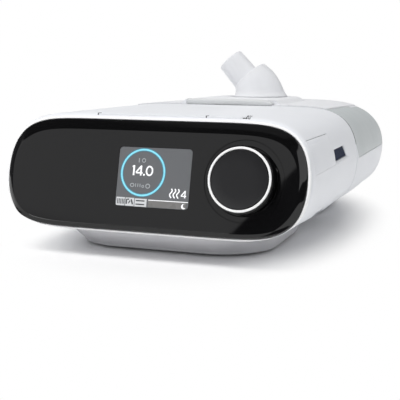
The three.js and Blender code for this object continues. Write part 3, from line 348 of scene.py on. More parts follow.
def flattened(made):
    """Corners that touch the panel's flat front take the front's own direction."""
    aim = in_panel([(0, 0, 1)])[0] - in_panel([(0, 0, 0)])[0]
    mesh = made.data
    count = len(mesh.loops)
    corners = np.empty(count * 3)
    mesh.corner_normals.foreach_get("vector", corners)
    corners = corners.reshape(-1, 3)
    touched = np.zeros(len(mesh.vertices), dtype=bool)
    for face in mesh.polygons:
        if np.dot(face.normal, aim) > 0.99997:
            touched[list(face.vertices)] = True
    at = np.empty(count, dtype=np.int32)
    mesh.loops.foreach_get("vertex_index", at)
    corners[touched[at] & (corners @ aim > 0.96)] = aim
    mesh.normals_split_custom_set([tuple(n) for n in corners])


def build(name, shape, material, body, steps=(), replaces=(), smooth=30, bevel=0.0):
    """One visible piece: shape, cuts, bevel, shading, material, and what the frame has to know."""
    made = new_object(name, shape)
    if steps:
        combine(made, steps)
    if bevel:
        edge = made.modifiers.new("edges", "BEVEL")
        edge.width = bevel * 0.001
        edge.segments = 3
        edge.limit_method = "ANGLE"
        edge.angle_limit = math.radians(40)
        bake(made)
    made.data.shade_smooth()
    made.data.set_sharp_from_angle(angle=math.radians(smooth))
    made.data.materials.clear()
    made.data.materials.append(material)
    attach(made, body)
    if replaces:
        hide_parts(*replaces)
    return made


# Materials

def linear(red, green, blue):
    out = []
    for value in (red, green, blue):
        c = value / 255
        out.append(c / 12.92 if c <= 0.04045 else ((c + 0.055) / 1.055) ** 2.4)
    return (*out, 1.0)


# The setting that says what a node does, where it isn't its operation
MODES = {"MapRange": "interpolation_type", "Mix": "data_type"}


def add(tree, kind, mode="", **values):
    """A new node, with its mode and with its sockets by name, where _ stands for a space."""
    made = tree.nodes.new("ShaderNode" + kind)
    if mode:
        setattr(made, MODES.get(kind, "operation"), mode)
    for name, value in values.items():
        made.inputs[name.replace("_", " ")].default_value = value
    return made


def between(tree, value, low, high, mode="LINEAR"):
    """0 up to low and 1 from high."""
    made = add(tree, "MapRange", mode, From_Min=low, From_Max=high)
    tree.links.new(value, made.inputs["Value"])
    return made.outputs["Result"]


def merged(tree, kind, mode, *sources):
    """The result of a node fed with those sources in the order of its inputs."""
    made = add(tree, kind, mode)
    for k, source in enumerate(sources):
        tree.links.new(source, made.inputs[k])
    return made.outputs["Shader" if kind == "MixShader" else "Value"]


def blend(tree, factor, first, second):
    """A mix of two colours, each a socket or a fixed colour."""
    made = add(tree, "Mix", "RGBA")
    for name, value in (("Factor", factor), ("A", first), ("B", second)):
        if isinstance(value, tuple):
            made.inputs[name].default_value = value
        else:
            tree.links.new(value, made.inputs[name])
    return made.outputs["Result"]


def moulding(name, colour, roughness, grain=900, bump=0.05, spread=0.03, specular=0.5, metallic=0.0,
             alpha=1.0, marks=0.04, distance=0.00004):
    """Moulded or finished surface: fine grain in the height, slow drift in colour and gloss."""
    material = bpy.data.materials.new(name)
    material.use_nodes = True
    tree = material.node_tree
    link = tree.links.new
    shader = tree.nodes["Principled BSDF"]
    shader.inputs["Metallic"].default_value = metallic
    shader.inputs["Specular IOR Level"].default_value = specular
    shader.inputs["Alpha"].default_value = alpha
    place_in = add(tree, "TexCoord")
    slow = add(tree, "TexNoise", Scale=14, Detail=3)
    fine = add(tree, "TexNoise", Scale=grain, Detail=2)
    rubbed = add(tree, "TexNoise", Scale=60, Detail=5)
    for texture in (slow, fine, rubbed):
        link(place_in.outputs["Object"], texture.inputs["Vector"])
    drift = add(tree, "ValToRGB")
    for stop, at, share in zip(drift.color_ramp.elements, (0.3, 0.7), (1 - spread, 1 + spread)):
        stop.position = at
        stop.color = (*(min(1, c * share) for c in colour[:3]), 1)
    link(slow.outputs["Fac"], drift.inputs["Fac"])
    link(drift.outputs["Color"], shader.inputs["Base Color"])
    gloss = add(tree, "MapRange", From_Min=0.35, From_Max=0.65,
                To_Min=max(0.0, roughness - marks), To_Max=min(1.0, roughness + marks))
    link(rubbed.outputs["Fac"], gloss.inputs["Value"])
    link(gloss.outputs["Result"], shader.inputs["Roughness"])
    if bump:
        height = add(tree, "Bump", Strength=bump, Distance=distance)
        link(fine.outputs["Fac"], height.inputs["Height"])
        link(height.outputs["Normal"], shader.inputs["Normal"])
    return material


white = moulding("casing_white", linear(237, 239, 243), 0.42, spread=0.012)
# Painted highlight: a brighter copy of the casing white, put on the lip's front faces for the bright line
# along the lip
lip_painted_highlight = moulding("lip_painted_highlight", linear(254, 254, 255), 0.4, spread=0.004)
lid_white = moulding("lid_white", linear(238, 239, 242), 0.42, spread=0.012)
# Painted shade: a darker grey copy of the lid white, for the lid's flanks turned from the light
lid_flank_painted_shade = moulding("lid_flank_painted_shade", linear(196, 202, 203), 0.4, spread=0.02)
pedestal_grey = moulding("pedestal_grey", linear(204, 204, 207), 0.55, spread=0.03)
# Painted shade: the latch is coloured a grey darker than the lid, for its front face in shade
latch_painted_shade_grey = moulding("latch_painted_shade_grey", linear(215, 217, 218), 0.45, spread=0.02)
elbow_white = moulding("elbow_white", linear(228, 229, 232), 0.38, spread=0.015)
gloss_black = moulding("gloss_black", linear(10, 10, 11), 0.03, bump=0.0, marks=0.01, spread=0.05)
satin_black = moulding("satin_black", linear(31, 31, 33), 0.42, grain=1400, bump=0.06, spread=0.05)
gloss_side = moulding("knob_side", linear(16, 16, 17), 0.14, bump=0.0, marks=0.03, spread=0.05)
ring_white = moulding("ring_white", linear(252, 252, 252), 0.25, bump=0.0, spread=0.004)
window_grey = moulding("window_grey", linear(103, 105, 108), 0.04, bump=0.0, marks=0.01, spread=0.03)
filter_blue = moulding("filter_blue", linear(16, 30, 58), 0.95, grain=2600, bump=0.9, spread=0.2,
                       distance=0.0004)
dark = moulding("dark_plastic", linear(38, 38, 41), 0.6, bump=0.15, spread=0.08)
# Painted shadow: a dark grey for strips that stand for the shade in the lid's seam
seam_painted_shadow = moulding("seam_painted_shadow", linear(46, 47, 50), 0.7, bump=0.1, spread=0.06)
mark_dark = moulding("mark_dark", linear(44, 45, 49), 0.9, bump=0.0, spread=0.04, specular=0.0)
pip_black = moulding("pip_black", linear(14, 14, 15), 0.9, bump=0.0, spread=0.05, specular=0.0)
rubber = moulding("rubber", linear(48, 48, 50), 0.85, bump=0.3, spread=0.1)
silicone = moulding("silicone", linear(190, 196, 200), 0.55, bump=0.1, spread=0.04)
steel = moulding("steel", linear(178, 180, 183), 0.28, metallic=1.0, bump=0.1, spread=0.05, marks=0.08)
aluminium = moulding("aluminium", linear(205, 206, 208), 0.35, metallic=1.0, bump=0.15, spread=0.05,
                     marks=0.08)
board_green = moulding("board_green", linear(26, 84, 58), 0.45, bump=0.2, spread=0.15)
clear = moulding("clear_plastic", linear(198, 212, 222), 0.08, bump=0.0, spread=0.03, alpha=0.45)
wheel_grey = moulding("wheel_grey", linear(188, 192, 198), 0.5, bump=0.1, spread=0.04)


def lit(name, colour, glow):
    """A lit mark on the display, behind its window."""
    material = moulding(name, colour, 0.3, bump=0.0, spread=0.02)
    shader = material.node_tree.nodes["Principled BSDF"]
    shader.inputs["Emission Color"].default_value = colour
    shader.inputs["Emission Strength"].default_value = glow
    return material


DISPLAY_COLOURS = (
    ("white", (245, 246, 248), 0.25), ("soft", (205, 207, 209), 0.15), ("pale", (160, 164, 168), 0.1),
    ("cyan", (132, 212, 232), 0.25), ("teal", (70, 128, 150), 0.05), ("dark", (74, 75, 79), 0.0),
    ("band", (124, 123, 122), 0.0),
)
display = {name: lit("display_" + name, linear(*rgb), glow) for name, rgb, glow in DISPLAY_COLOURS}

# Therapy unit: casing

def device_form(grow=0.0):
    rings = []
    for share in 1 - np.cos(np.linspace(0, math.pi / 2, 14)):
        rounding = math.sqrt(max(0, 1 - (1 - share) ** 2))
        rings.append(front_ring(LIP + (1 - LIP) * rounding, share * SHOULDER - grow, grow))
    for y in (30, 60, 90, 130):
        rings.append(casing_ring(-grow, y))
    rings.append(casing_ring(-grow, DEVICE_REAR + grow))
    return skin(rings)


# Rings of the fine groove behind the lip, against the shoulder there: share, depth and growth
LIP_GROOVE = ((-0.015, -0.05, 0), (-0.01, 0.1, -0.3), (0.015, 0.14, -0.28), (0.03, 0.2, 0))


def shell_shape():
    rings = [
        panel_ring(0, -1.6, 0.25),
        panel_ring(0, -0.15, 0.25),
        panel_ring(0, 0.0, 0.4),
        front_ring(LIP * 0.8, 0.0),
        front_ring(LIP * 0.97, 0.06),
    ]
    shares = 1 - np.cos(np.linspace(0.10, math.pi / 2, 14))
    for k, share in enumerate(shares):
        rounding = math.sqrt(1 - (1 - share) ** 2)
        level = LIP + (1 - LIP) * rounding
        for up, out, grow in LIP_GROOVE if k == 2 else ((0, 0, 0),):
            rings.append(front_ring(level + up, share * SHOULDER + out, grow))
    for y in (*np.linspace(30, 150, 9), 155.6):
        rings.append(casing_ring(0, y))
    for s, c in quarter_turn(5):
        rings.append(casing_ring(REAR_EDGE * (1 - c), DEVICE_REAR - REAR_EDGE * (1 - s)))
    rings.append(casing_ring(WALL, DEVICE_REAR))
    rings.append(casing_ring(WALL, 60))
    rings.append(front_ring(1, 3.4, -WALL))
    rings.append(panel_ring(0, -1.6, -4.5))
    return skin(rings, ends=False)


DOOR_Y = (21, 77)
DOOR_LOW = 52.5
DOOR_AXIS_Z = 68.9
BARREL = 1.45
DOOR_AXIS_X = float(casing_half(DOOR_AXIS_Z, BARREL))
DOOR_PIN_BORE = 0.75
KNUCKLE = 2.86
DOOR_LINE = [(DOOR_AXIS_X, y, DOOR_AXIS_Z) for y in (DOOR_Y[0] - 0.16, DOOR_Y[1] + 0.16)]


def door_room(grow):
    """The door's leaf and hinge barrel, grown, as one prism along Y."""
    z = np.linspace(DOOR_LOW - grow, DOOR_AXIS_Z, 14)
    outer = [(float(casing_half(v, -grow)), v) for v in z]
    turn = np.radians(np.linspace(0, 180, 13))
    arc = [tuple(p) for p in ellipse(DOOR_AXIS_X, DOOR_AXIS_Z, BARREL + grow, BARREL + grow, turn)]
    section = outer + arc + [(80, DOOR_AXIS_Z), (80, DOOR_LOW - grow)]
    return skin([[(x, y, v) for x, v in section] for y in (DOOR_Y[0] - grow, DOOR_Y[1] + grow)])


def wide(shape, reach=4.0):
    """Pushes a door's room out past the surface, for cutting."""
    points = shape[0].copy()
    outer = points[:, 0] > DOOR_AXIS_X + 1.0
    points[outer & (points[:, 2] <= DOOR_AXIS_Z + 0.01), 0] += reach
    return points, shape[1]


# Corners (y, z) of the air inlet at the surface and at its throat, which lies INLET_DEPTH further in
INLET_MOUTH = [(79.0, 52.3), (126.3, 52.6), (119.0, 61.7), (79.0, 61.7)]
INLET_THROAT = [(79.3, 53.7), (121.5, 53.9), (115.2, 61.3), (79.3, 61.3)]
INLET_DEPTH = 1.0


def inlet_funnel():
    mouth = np.array(INLET_MOUTH)
    throat = np.array(INLET_THROAT)
    over = mouth + 0.4 * (mouth - throat)
    rings = []
    for out, ring in ((4, over), (0.4 * INLET_DEPTH, over), (-INLET_DEPTH, throat), (None, throat)):
        x = 86.0 if out is None else casing_half(ring[:, 1]) + out
        rings.append(at_x(x, ring))
    return skin(rings)


def inlet_frame():
    """The thick frame round the air inlet, against the wall's inside."""
    return plate((75.2, 122.9), np.linspace(50.6, 64.0, 8), lambda z: casing_half(z, 1.0), lambda z: 89.4)


BUTTONS = {"therapy_button": (-38.4, 31.6), "ramp_button": (31.6, 53.0)}


def left_plate(grow, out, depth):
    """The cover on the left side, or with grow and out the room for it."""
    return plate(
        np.linspace(64 - grow, 108 + grow, 3), np.linspace(36 - grow, 60 + grow, 12),
        lambda z: -casing_half(z) - out, lambda z: -casing_half(z) + depth,
    )


# The opening over the pan, the hole of the power inlet, the slot low in the right side, the buttons' room
PAN_OPENING = (61.5, 12, 146, 33)
POWER_HOLE = (6.3, (-100, 132, 36), (-83.5, 132, 36), 64)
LOWER_SLOT = ((80, 97), (56, 80), (22.7, 25.4))
BUTTON_ROOM = ((-38.5, 53.1), (19.95, 24.25), (78.6, 90))
shell = build(
    "casing_shell", shell_shape(), white, "housing",
    steps=[
        (JOIN, inlet_frame()),
        (CUT, skin([at_height(rounded(*PAN_OPENING), z) for z in (0, 19.8)])),
        (CUT, wide(door_room(0.16))),
        (CUT, rod(KNUCKLE + 0.05, *DOOR_LINE, 48)),
        (CUT, inlet_funnel()),
        (CUT, slab(*BUTTON_ROOM)),
        (CUT, left_plate(0.15, 2, 3.0)),
        (CUT, rod(*POWER_HOLE)),
        (CUT, slab(*LOWER_SLOT)),
    ],
    replaces=["main_shell"], smooth=35,
)


def door_shape():
    z = np.linspace(DOOR_LOW, DOOR_AXIS_Z - 0.02, 22)
    return plate(np.linspace(*DOOR_Y, 5), z, casing_half, lambda v: casing_half(v, 2.3))


DOOR_AXIS = [(DOOR_AXIS_X, y, DOOR_AXIS_Z) for y in DOOR_Y]
knuckle = new_object("knuckle", rod(KNUCKLE, *DOOR_AXIS, 48))
combine(knuckle, [
    ("INTERSECT", skin([casing_ring(0.0, y) for y in (10, 60, 90)])),
    ("INTERSECT", slab((DOOR_AXIS_X + 0.2, 100), (0, 100), (60, 80))),
])
build(
    "side_door_leaf", door_shape(), white, "door",
    steps=[
        (JOIN, knuckle),
        (JOIN, rod(BARREL, *DOOR_AXIS, 40)),
        (CUT, rod(DOOR_PIN_BORE, *((DOOR_AXIS_X, y, DOOR_AXIS_Z) for y in (10, 90)), 24)),
    ],
    replaces=["side_door"], bevel=0.18, smooth=35,
)


build("left_cover", left_plate(0, 0, 2.6), white, "housing", replaces=["accessory_cover"],
      bevel=0.3, smooth=35)


def button_shape(left, right):
    x = np.linspace(left + 0.06, right - 0.06, 24)
    y = np.linspace(20.16, 24.2, 3)
    out = np.array([[(v, w, float(casing_top(v))) for w in y] for v in x])
    inn = np.array([[(v, w, 80.2) for w in y] for v in x])
    return patch(out, inn)


PIPS = {"button_pip_left": -37.5, "button_pip_middle": 31.6}


def pip(x, grow, over):
    """A small post that stands in the casing and comes up between the buttons."""
    ring = ellipse(x, 22.1, 0.9 + grow, 1.9 + grow, around(32))
    top = np.array([float(casing_top(v)) for v in ring[:, 0]]) + over
    return skin([at_height(ring, 78.61), at_height(ring, top)])


for key, (left, right) in BUTTONS.items():
    build(
        key + "_top", button_shape(left, right), white, key.replace("button", "key"),
        steps=[(CUT, pip(x, 0.12, 3)) for x in PIPS.values() if left - 1 < x < right + 1],
        replaces=[key], bevel=0.12, smooth=35,
    )
for key, x in PIPS.items():
    build(key, pip(x, 0, 0.12), pip_black, "housing", bevel=0.08, smooth=35)


def flat_marks(shapes, plane, thickness):
    """Thin marks: each is a row of (u, v) points, with holes as (outer, inner) rings of as many points."""
    points, faces = [], []
    for shape in shapes:
        if isinstance(shape, tuple):
            outer, inner = shape
            rows = [(outer, 0), (outer, thickness), (inner, thickness), (inner, 0)]
        else:
            rows = [(shape, 0), (shape, thickness)]
        made = skin([plane(np.array(ring, dtype=float), level) for ring, level in rows], len(rows) == 2)
        faces += [tuple(i + sum(len(p) for p in points) for i in f) for f in made[1]]
        points.append(made[0])
    return np.vstack(points), faces


# Trees for finding the height of the casing's and the buttons' upper surface
top_trees = []
for made in (shell, *(bpy.data.objects[key + "_top"] for key in BUTTONS)):
    corners = [v.co for v in made.data.vertices]
    top_trees.append(BVHTree.FromPolygons(corners, [tuple(f.vertices) for f in made.data.polygons]))


def on_top(ring, level):
    heights = []
    for x, y in ring:
        best = 0
        for step in (0, -0.25, 0.25):
            start = tuple(place([(x + step, y, 200)])[0])
            for tree in top_trees:
                hit = tree.ray_cast(start, (0, 0, -1))[0]
                if hit is not None:
                    best = max(best, hit.z * 1000)
        heights.append(best)
    return at_height(ring, np.array(heights) + level - 0.03)


def strip_along(x, width, y0, y1, lean):
    """A bar along Y that leans in x, in enough steps to follow the surface."""
    y = np.linspace(y0, y1, 10)
    x = x - lean * (y - y0)
    left = np.column_stack([x - width / 2, y])
    right = np.column_stack([x + width / 2, y])
    return np.vstack([left, right[::-1]])


def circle(u, v, radius, steps=24, start=0, sweep=360):
    angle = np.radians(start + np.linspace(0, sweep, steps, endpoint=False))
    return ellipse(u, v, radius, radius, angle)


hatch = [strip_along(x, width, 20.2, 36, 0.2) for x, width in ((55.5, 1.0), (56.7, 0.5), (57.6, 0.5))]
dots = [circle(54.0, 21.0, 0.7, 20)]
build("button_marks", flat_marks(hatch, on_top, 0.1), mark_dark, "housing", smooth=30)
build("button_dots", flat_marks(dots, on_top, 0.1), pip_black, "housing", smooth=30)

# Front panel, display and dial

SCREEN = (3.8, -1.1, 45.9, 35.2, 2.4)
DIAL_U, DIAL_V = 58.3, -0.3
# Rows of the panel's rim: how far in, its height at the top and sides, and its height along the bottom
RIM = [
    (0, -1.2, -1.2), (0, -0.2, -0.2), (0.0, 0.15, 2.3), (0.015, 0.42, 2.5), (0.04, 0.6, 2.57),
    (0.08, 0.76, 2.61), (0.3, 1.42, 2.7), (0.5, 2.05, 2.78), (0.6, 2.33, 2.83), (0.7, 2.57, 2.88),
    (0.79, 2.75, 2.93), (0.87, 2.88, 2.96), (0.94, 2.96, 2.985), (1.0, 3.0, 3.0),
]


def panel_form():
    rings = []
    for share, high, low in RIM:
        ring = panel_ring(share, 0)
        along = panel_ring(share, 1) - ring
        upright = (ring[:, 2] - PANEL_Z) / math.cos(TILT)
        part = np.clip((-upright - 20) / 8, 0, 1)
        part = part * part * (3 - 2 * part)
        rings.append(ring + along * (high + (low - high) * part)[:, None])
    return skin(rings)


def about_dial(profile, steps=128, closed=False):
    points, faces = turned(profile, steps, closed)
    return in_panel(points + (DIAL_U, DIAL_V, 0)), faces


well_profile = [(0, 2.2), (19.6, 2.2), (20.1, 2.6), (23.2, 2.6), (23.4, 2.75), (23.4, 6), (0, 6)]
cover = build(
    "front_cover", panel_form(), gloss_black, "housing",
    steps=[
        (CUT, skin([panel_ring(0, -2.4, -3.2), panel_ring(0, -1.1, -3.2), panel_ring(0.9, 0.8, -2)])),
        (CUT, skin([in_panel(at_height(rounded_box(*SCREEN), h)) for h in (-2, 5)])),
        (CUT, about_dial(well_profile)),
        (CUT, about_dial([(0, -3), (5, -3), (5, 6), (0, 6)], 48)),
    ],
    replaces=["front_panel"], smooth=28,
)
flattened(cover)
WINDOW_TOP = 2.85
glass = ((45.7, 35.0, 2.3, 0.95), (45.7, 35.0, 2.3, WINDOW_TOP - 0.08), (45.54, 34.84, 2.22, WINDOW_TOP))
build(
    "display_glass",
    skin([in_panel(at_height(rounded_box(*SCREEN[:2], *size), level)) for *size, level in glass]),
    window_grey, "housing", replaces=["display_window"], smooth=30,
)


def on_screen(ring, level):
    return in_panel(at_height(ring, WINDOW_TOP + 0.004 + level))


def on_icons(ring, level):
    return on_screen(ring, level + 0.056)


def shown(name, shapes, thickness, colour, plane=on_screen):
    build("display_" + name, flat_marks(shapes, plane, thickness), display[colour], "housing")


def bar(u0, v0, u1, v1):
    return [(u0, v0), (u1, v0), (u1, v1), (u0, v1)]


def stroke(points, width):
    """A line of that width through points, as a closed ring."""
    row = np.array(points, dtype=float)
    step = np.gradient(row, axis=0)
    step /= np.linalg.norm(step, axis=1)[:, None]
    side = np.column_stack([-step[:, 1], step[:, 0]]) * width / 2
    return np.vstack([row + side, (row - side)[::-1]])


def ring_of(outer, inner):
    """A band of the round gauge."""
    return circle(-3.1, 1.6, outer, 120), circle(-3.1, 1.6, inner, 120)


def oval(u, v, half_u, half_v, width):
    angle = around(40)
    return ellipse(u, v, half_u, half_v, angle), ellipse(u, v, half_u - width, half_v - width, angle)


def four(u, v, height, width):
    """The digit 4 with its lower left at (u, v)."""
    w = height * 0.72
    return [
        stroke([(u + w * 0.74, v), (u + w * 0.74, v + height)], width),
        stroke([(u + w * 0.72, v + height - width * 0.4), (u, v + height * 0.3)], width * 0.9),
        stroke([(u - width * 0.1, v + height * 0.27), (u + w, v + height * 0.27)], width * 0.9),
    ]


def steam(u, v):
    rows = []
    for k in range(3):
        t = np.linspace(0, 1, 18)
        rows.append(stroke(np.column_stack([
            u + 2.15 * k + 0.62 * np.sin(t * 2 * math.pi * 1.15) - 0.3 * t, v - 5.4 * t,
        ]), 0.75))
    return rows


shown("ring", [ring_of(13.95, 12.85)], 0.05, "cyan")
shown("ring_edges", [ring_of(14.35, 14.02), ring_of(12.73, 12.4)], 0.04, "teal")
DIGIT_V = -0.25
digits = [
    stroke([(-8.9, DIGIT_V), (-8.9, DIGIT_V + 5.9)], 1.05),
    stroke([(-9.9, DIGIT_V + 5.0), (-8.6, DIGIT_V + 5.6)], 0.9),
    *four(-7.5, DIGIT_V, 5.9, 0.95),
    circle(-2.35, DIGIT_V + 0.55, 0.62, 20),
    oval(0.95, DIGIT_V + 2.95, 2.35, 3.05, 0.95),
]
shown("digits", digits, 0.06, "white")
pale = [
    stroke([(-6.1, 7.4), (-6.1, 9.9)], 0.5),
    oval(-3.1, 8.7, 1.25, 1.3, 0.45),
    oval(-9.2, -6.0, 1.4, 1.15, 0.5),
    *(stroke([(u, -7.0), (u, -5.0)], 0.5) for u in (-7.0, -5.6, -4.2)),
    oval(-2.4, -6.5, 0.85, 0.85, 0.4),
    oval(0.7, -6.2, 1.5, 1.45, 0.55),
]
shown("notes", pale, 0.04, "pale")
shown("steam", [*steam(15.6, -6.9), *four(21.8, -12.0, 4.4, 0.7)], 0.06, "white")
shown("band", [bar(1.9, -18.3, 25.2, -14.5)], 0.03, "band")
moon = np.vstack([circle(23.9, -16.7, 1.5, 30, 60, 250), circle(24.6, -16.3, 1.2, 24, 300, -235)])
shown("bar", [bar(1.8, -14.45, 26.4, -14.0), moon], 0.06, "white")
icons = [bar(-18.4, -18.2, -12.9, -13.4), bar(-12.5, -18.3, -7.0, -13.5), bar(-6.6, -18.4, 0.9, -13.7)]
shown("icons", icons, 0.05, "soft")
dark_bits = [bar(-17.7 + 1.0 * k, -17.3, -17.15 + 1.0 * k, -14.3) for k in range(5)]
dark_bits += [
    stroke([(-11.8, -17.2), (-11.8, -14.6), (-10.2, -14.4)], 0.9),
    stroke([(-10.4, -16.8), (-9.6, -15.2)], 0.7),
    stroke([(-8.9, -14.4), (-7.8, -17.3)], 0.9),
    bar(-5.9, -15.3, -0.4, -14.6), bar(-5.9, -17.4, -0.4, -16.7),
]
shown("icon_marks", dark_bits, 0.03, "dark", on_icons)

knob = [
    (0, 4.9), (6, 4.9), (6, 8.4), (16.9, 8.4), (16.9, 3.4), (18.7, 3.4), (18.95, 3.5), (19.06, 3.75),
    (19.1, 4.2), (19.1, 10.9), (19.05, 11.2), (18.9, 11.4), (18.65, 11.5), (18.4, 11.5), (18.4, 10.8),
    (0, 10.8),
]
build("dial_body", about_dial(knob), gloss_side, "dial",
      steps=[(CUT, about_dial([(0, 3), (3.3, 3), (3.3, 9.5), (0, 9.5)], 48))],
      replaces=["dial_knob"], smooth=30)
ring_profile = [
    (16.95, 10.9), (18.2, 10.9), (18.28, 11.1), (18.3, 11.3), (18.27, 11.6), (18.15, 11.86), (17.95, 11.98),
    (17.7, 12.0), (17.25, 12.0), (17.02, 11.92), (16.92, 11.72), (16.9, 11.5), (16.9, 11.1),
]
build("dial_rim", about_dial(ring_profile, 144, True), ring_white, "dial",
      replaces=["dial_ring"], smooth=40)
face_profile = [
    (0, 10.9), (16.1, 10.9), (16.28, 11.1), (16.3, 11.72), (16.2, 11.9), (15.9, 12.0), (10, 12.06),
    (0, 12.08),
]
build("dial_face", about_dial(face_profile), satin_black, "dial",
      replaces=["dial_cap"], smooth=30)

# Base pan and feet

TRAY_FOOT = 1.5
TRAY_FLOOR = 4.1
TRAY_WALL = 3.6


def tray(bottom, top, high):
    """A pedestal with sloping walls and a floor, open at its top."""
    rings = []
    for s, c in quarter_turn(5):
        rings.append(at_height(rounded(*bottom, 2.0 * (1 - s)), TRAY_FOOT + 1.5 * (1 - c)))
    rings.append(at_height(rounded(*top), high))
    rings.append(at_height(rounded(*top, TRAY_WALL), high))
    rings.append(at_height(rounded(*bottom, TRAY_WALL), TRAY_FLOOR))
    return skin(rings)


build(
    "pedestal", tray((64.5, 25, 146, 36), (67, 4, 150, 36), high=17), pedestal_grey, "housing",
    steps=[(CUT, device_form(0.12))], replaces=["base_pan"], smooth=35,
)


FOOT = [(0, 0), (6.2, 0), (6.7, 0.18), (6.95, 0.5), (7, 0.9), (7, 2.5), (0, 2.5)]
for group, body in (("device", "housing"), ("humidifier", "humidifier")):
    for k in range(4):
        node = f"{group}_foot_{k + 1}"
        low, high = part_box(node)
        middle = ((low + high) / 2) * 1000
        build(node + "_pad", turned_at((middle.x, middle.y + OFFSET), FOOT, 48), rubber, body,
              replaces=[node], smooth=35)

# Humidifier

LID_GAP = 0.3


def humidifier_form(inset, front, rear, rounding=REAR_ROUND):
    rings = [casing_ring(inset, front)]
    for y in (180, 200, 225, 250):
        rings.append(casing_ring(inset, y))
    for s, c in quarter_turn(9):
        rings.append(casing_ring(inset + rounding * (1 - c), rear - rounding * (1 - s)))
    return skin(rings)


def lid_zone(gap):
    """Everything above the lid's seam, gap larger, with the S-bend at its front lower corner."""
    start = HUM_FRONT + LID_GAP / 2 - gap
    low = SEAM_Z + LID_GAP / 2 - gap
    points = [(400, 400), (start, 400)]
    for up in np.linspace(1, 0, 24):
        points.append((start + 8.5 * (1 - up) ** 2, low + 14 * up))
    points.append((400, low))
    return skin([at_x(x, points) for x in (-400, 400)])


HINGES = (-45, 45)
HINGE_BARREL = 2.1
HINGE_ROOM = 2.4
HINGE_BORE = 1.2
LATCH_AXIS = (163.8, 86.4)
# Steps of the room for the latch: its x, how far back it goes, and its floor
LATCH_ROOM = (((-33.1, 45), 167.0, 84.6), ((-33.1, 33.3), 167.0, 83.2), ((-12.4, 12.4), 164.8, 80))
ELBOW_AT = (0, 240)
# Where the air comes over from the therapy unit, and where the plug does
AIR_PORT = (12.8, (-44, 155, 58), (-44, 164, 58), 64)
PLUG_HOLE = ((31.5, 44.5), (155, 164), (31.5, 36.5))


def hinge_rod(radius, x0, x1):
    return rod(radius, (x0, HUM_REAR, SEAM_Z), (x1, HUM_REAR, SEAM_Z), 40)


def hinge_web(near, far, low):
    return slab((near, far), (HUM_REAR - WALL, HUM_REAR + 0.6), (low, low + 5))


base_steps = [
    (JOIN, tray((64.5, 176, 278, 30), (67, 170, 284, 30), high=16)),
    (CUT, lid_zone(0.42)),
    (CUT, humidifier_form(WALL, 160.9, HUM_REAR - WALL)),
    (CUT, rod(*AIR_PORT)),
    (CUT, slab(*PLUG_HOLE)),
]
for x in HINGES:
    for side in (-1, 1):
        near, far = sorted((x + side * 5.3, x + side * 11.4))
        base_steps += [(JOIN, hinge_rod(HINGE_BARREL, near, far)), (JOIN, hinge_web(near, far, 42.4))]
    base_steps += [
        (CUT, hinge_rod(HINGE_ROOM, x - 5.3, x + 5.3)),
        (CUT, hinge_rod(HINGE_BORE, x - 12.4, x + 12.4)),
    ]
build(
    "humidifier_case", humidifier_form(0, HUM_FRONT, HUM_REAR), white, "humidifier",
    steps=base_steps, replaces=["humidifier_base"], smooth=35,
)


def lid_shape_steps():
    crest = humidifier_form(-0.8, HUM_FRONT, HUM_REAR - 1, REAR_ROUND + 3)
    raised = new_object("crest", crest)
    combine(raised, [("INTERSECT", slab((-73, 73), (HUM_FRONT, HUM_REAR - 4), (CASING_MID, 100)))])
    slope = [
        (6.4, 81), (6.1, 83.2), (5.3, 84.1), (4.2, 84.9), (3.1, 85.7), (2.1, 86.5), (1.3, 87.1),
        (0.6, 87.55), (0, 87.8),
    ]
    crown = []
    for grow, z in slope:
        ring = rounded(33.4 + grow, HUM_FRONT - 60, 266 + grow, 28)
        ring[:, 1] = np.maximum(ring[:, 1], HUM_FRONT)
        crown.append(at_height(ring, z))
    rear = HUM_REAR - WALL
    inside = [
        casing_ring(WALL, HUM_FRONT - 2), casing_ring(WALL, rear - REAR_ROUND),
        casing_ring(WALL + 1.47, rear - 1.47), casing_ring(WALL + REAR_ROUND, rear),
    ]
    steps = [
        (JOIN, raised),
        (JOIN, skin(crown)),
        ("INTERSECT", lid_zone(0)),
        (CUT, skin(inside)),
        *((CUT, slab(x, (HUM_FRONT - 1, rear_end), (low, 100))) for x, rear_end, low in LATCH_ROOM),
        (CUT, rod(1.1, (-33.9, *LATCH_AXIS), (35.2, *LATCH_AXIS), 24)),
        (CUT, turned_at(ELBOW_AT, [(0, 78.4), (14.8, 78.4), (14.8, 100), (0, 100)])),
    ]
    for x in HINGES:
        steps += [(JOIN, hinge_rod(HINGE_BARREL, x - 5, x + 5)), (JOIN, hinge_web(x - 5, x + 5, 49.4))]
        for side in (-1, 1):
            near, far = sorted((x + side * 5.0, x + side * 11.7))
            steps.append((CUT, hinge_rod(HINGE_ROOM, near, far)))
        steps.append((CUT, hinge_rod(HINGE_BORE, x - 12.4, x + 12.4)))
    return steps


# Painted highlight: the casing's front-facing faces close behind the panel take the brighter lip copy of the
# white
shell.data.materials.append(lip_painted_highlight)
for face in shell.data.polygons:
    front = panel_plane(face.center.z * 1000)
    reach = float(np.interp(face.center.z * 1000, (14, 30, 60, 84), (3.0, 1.6, 0.9, 0.3)))
    if face.normal.y < -0.05 and -0.3 < face.center.y * 1000 + OFFSET - front < reach:
        face.material_index = 1


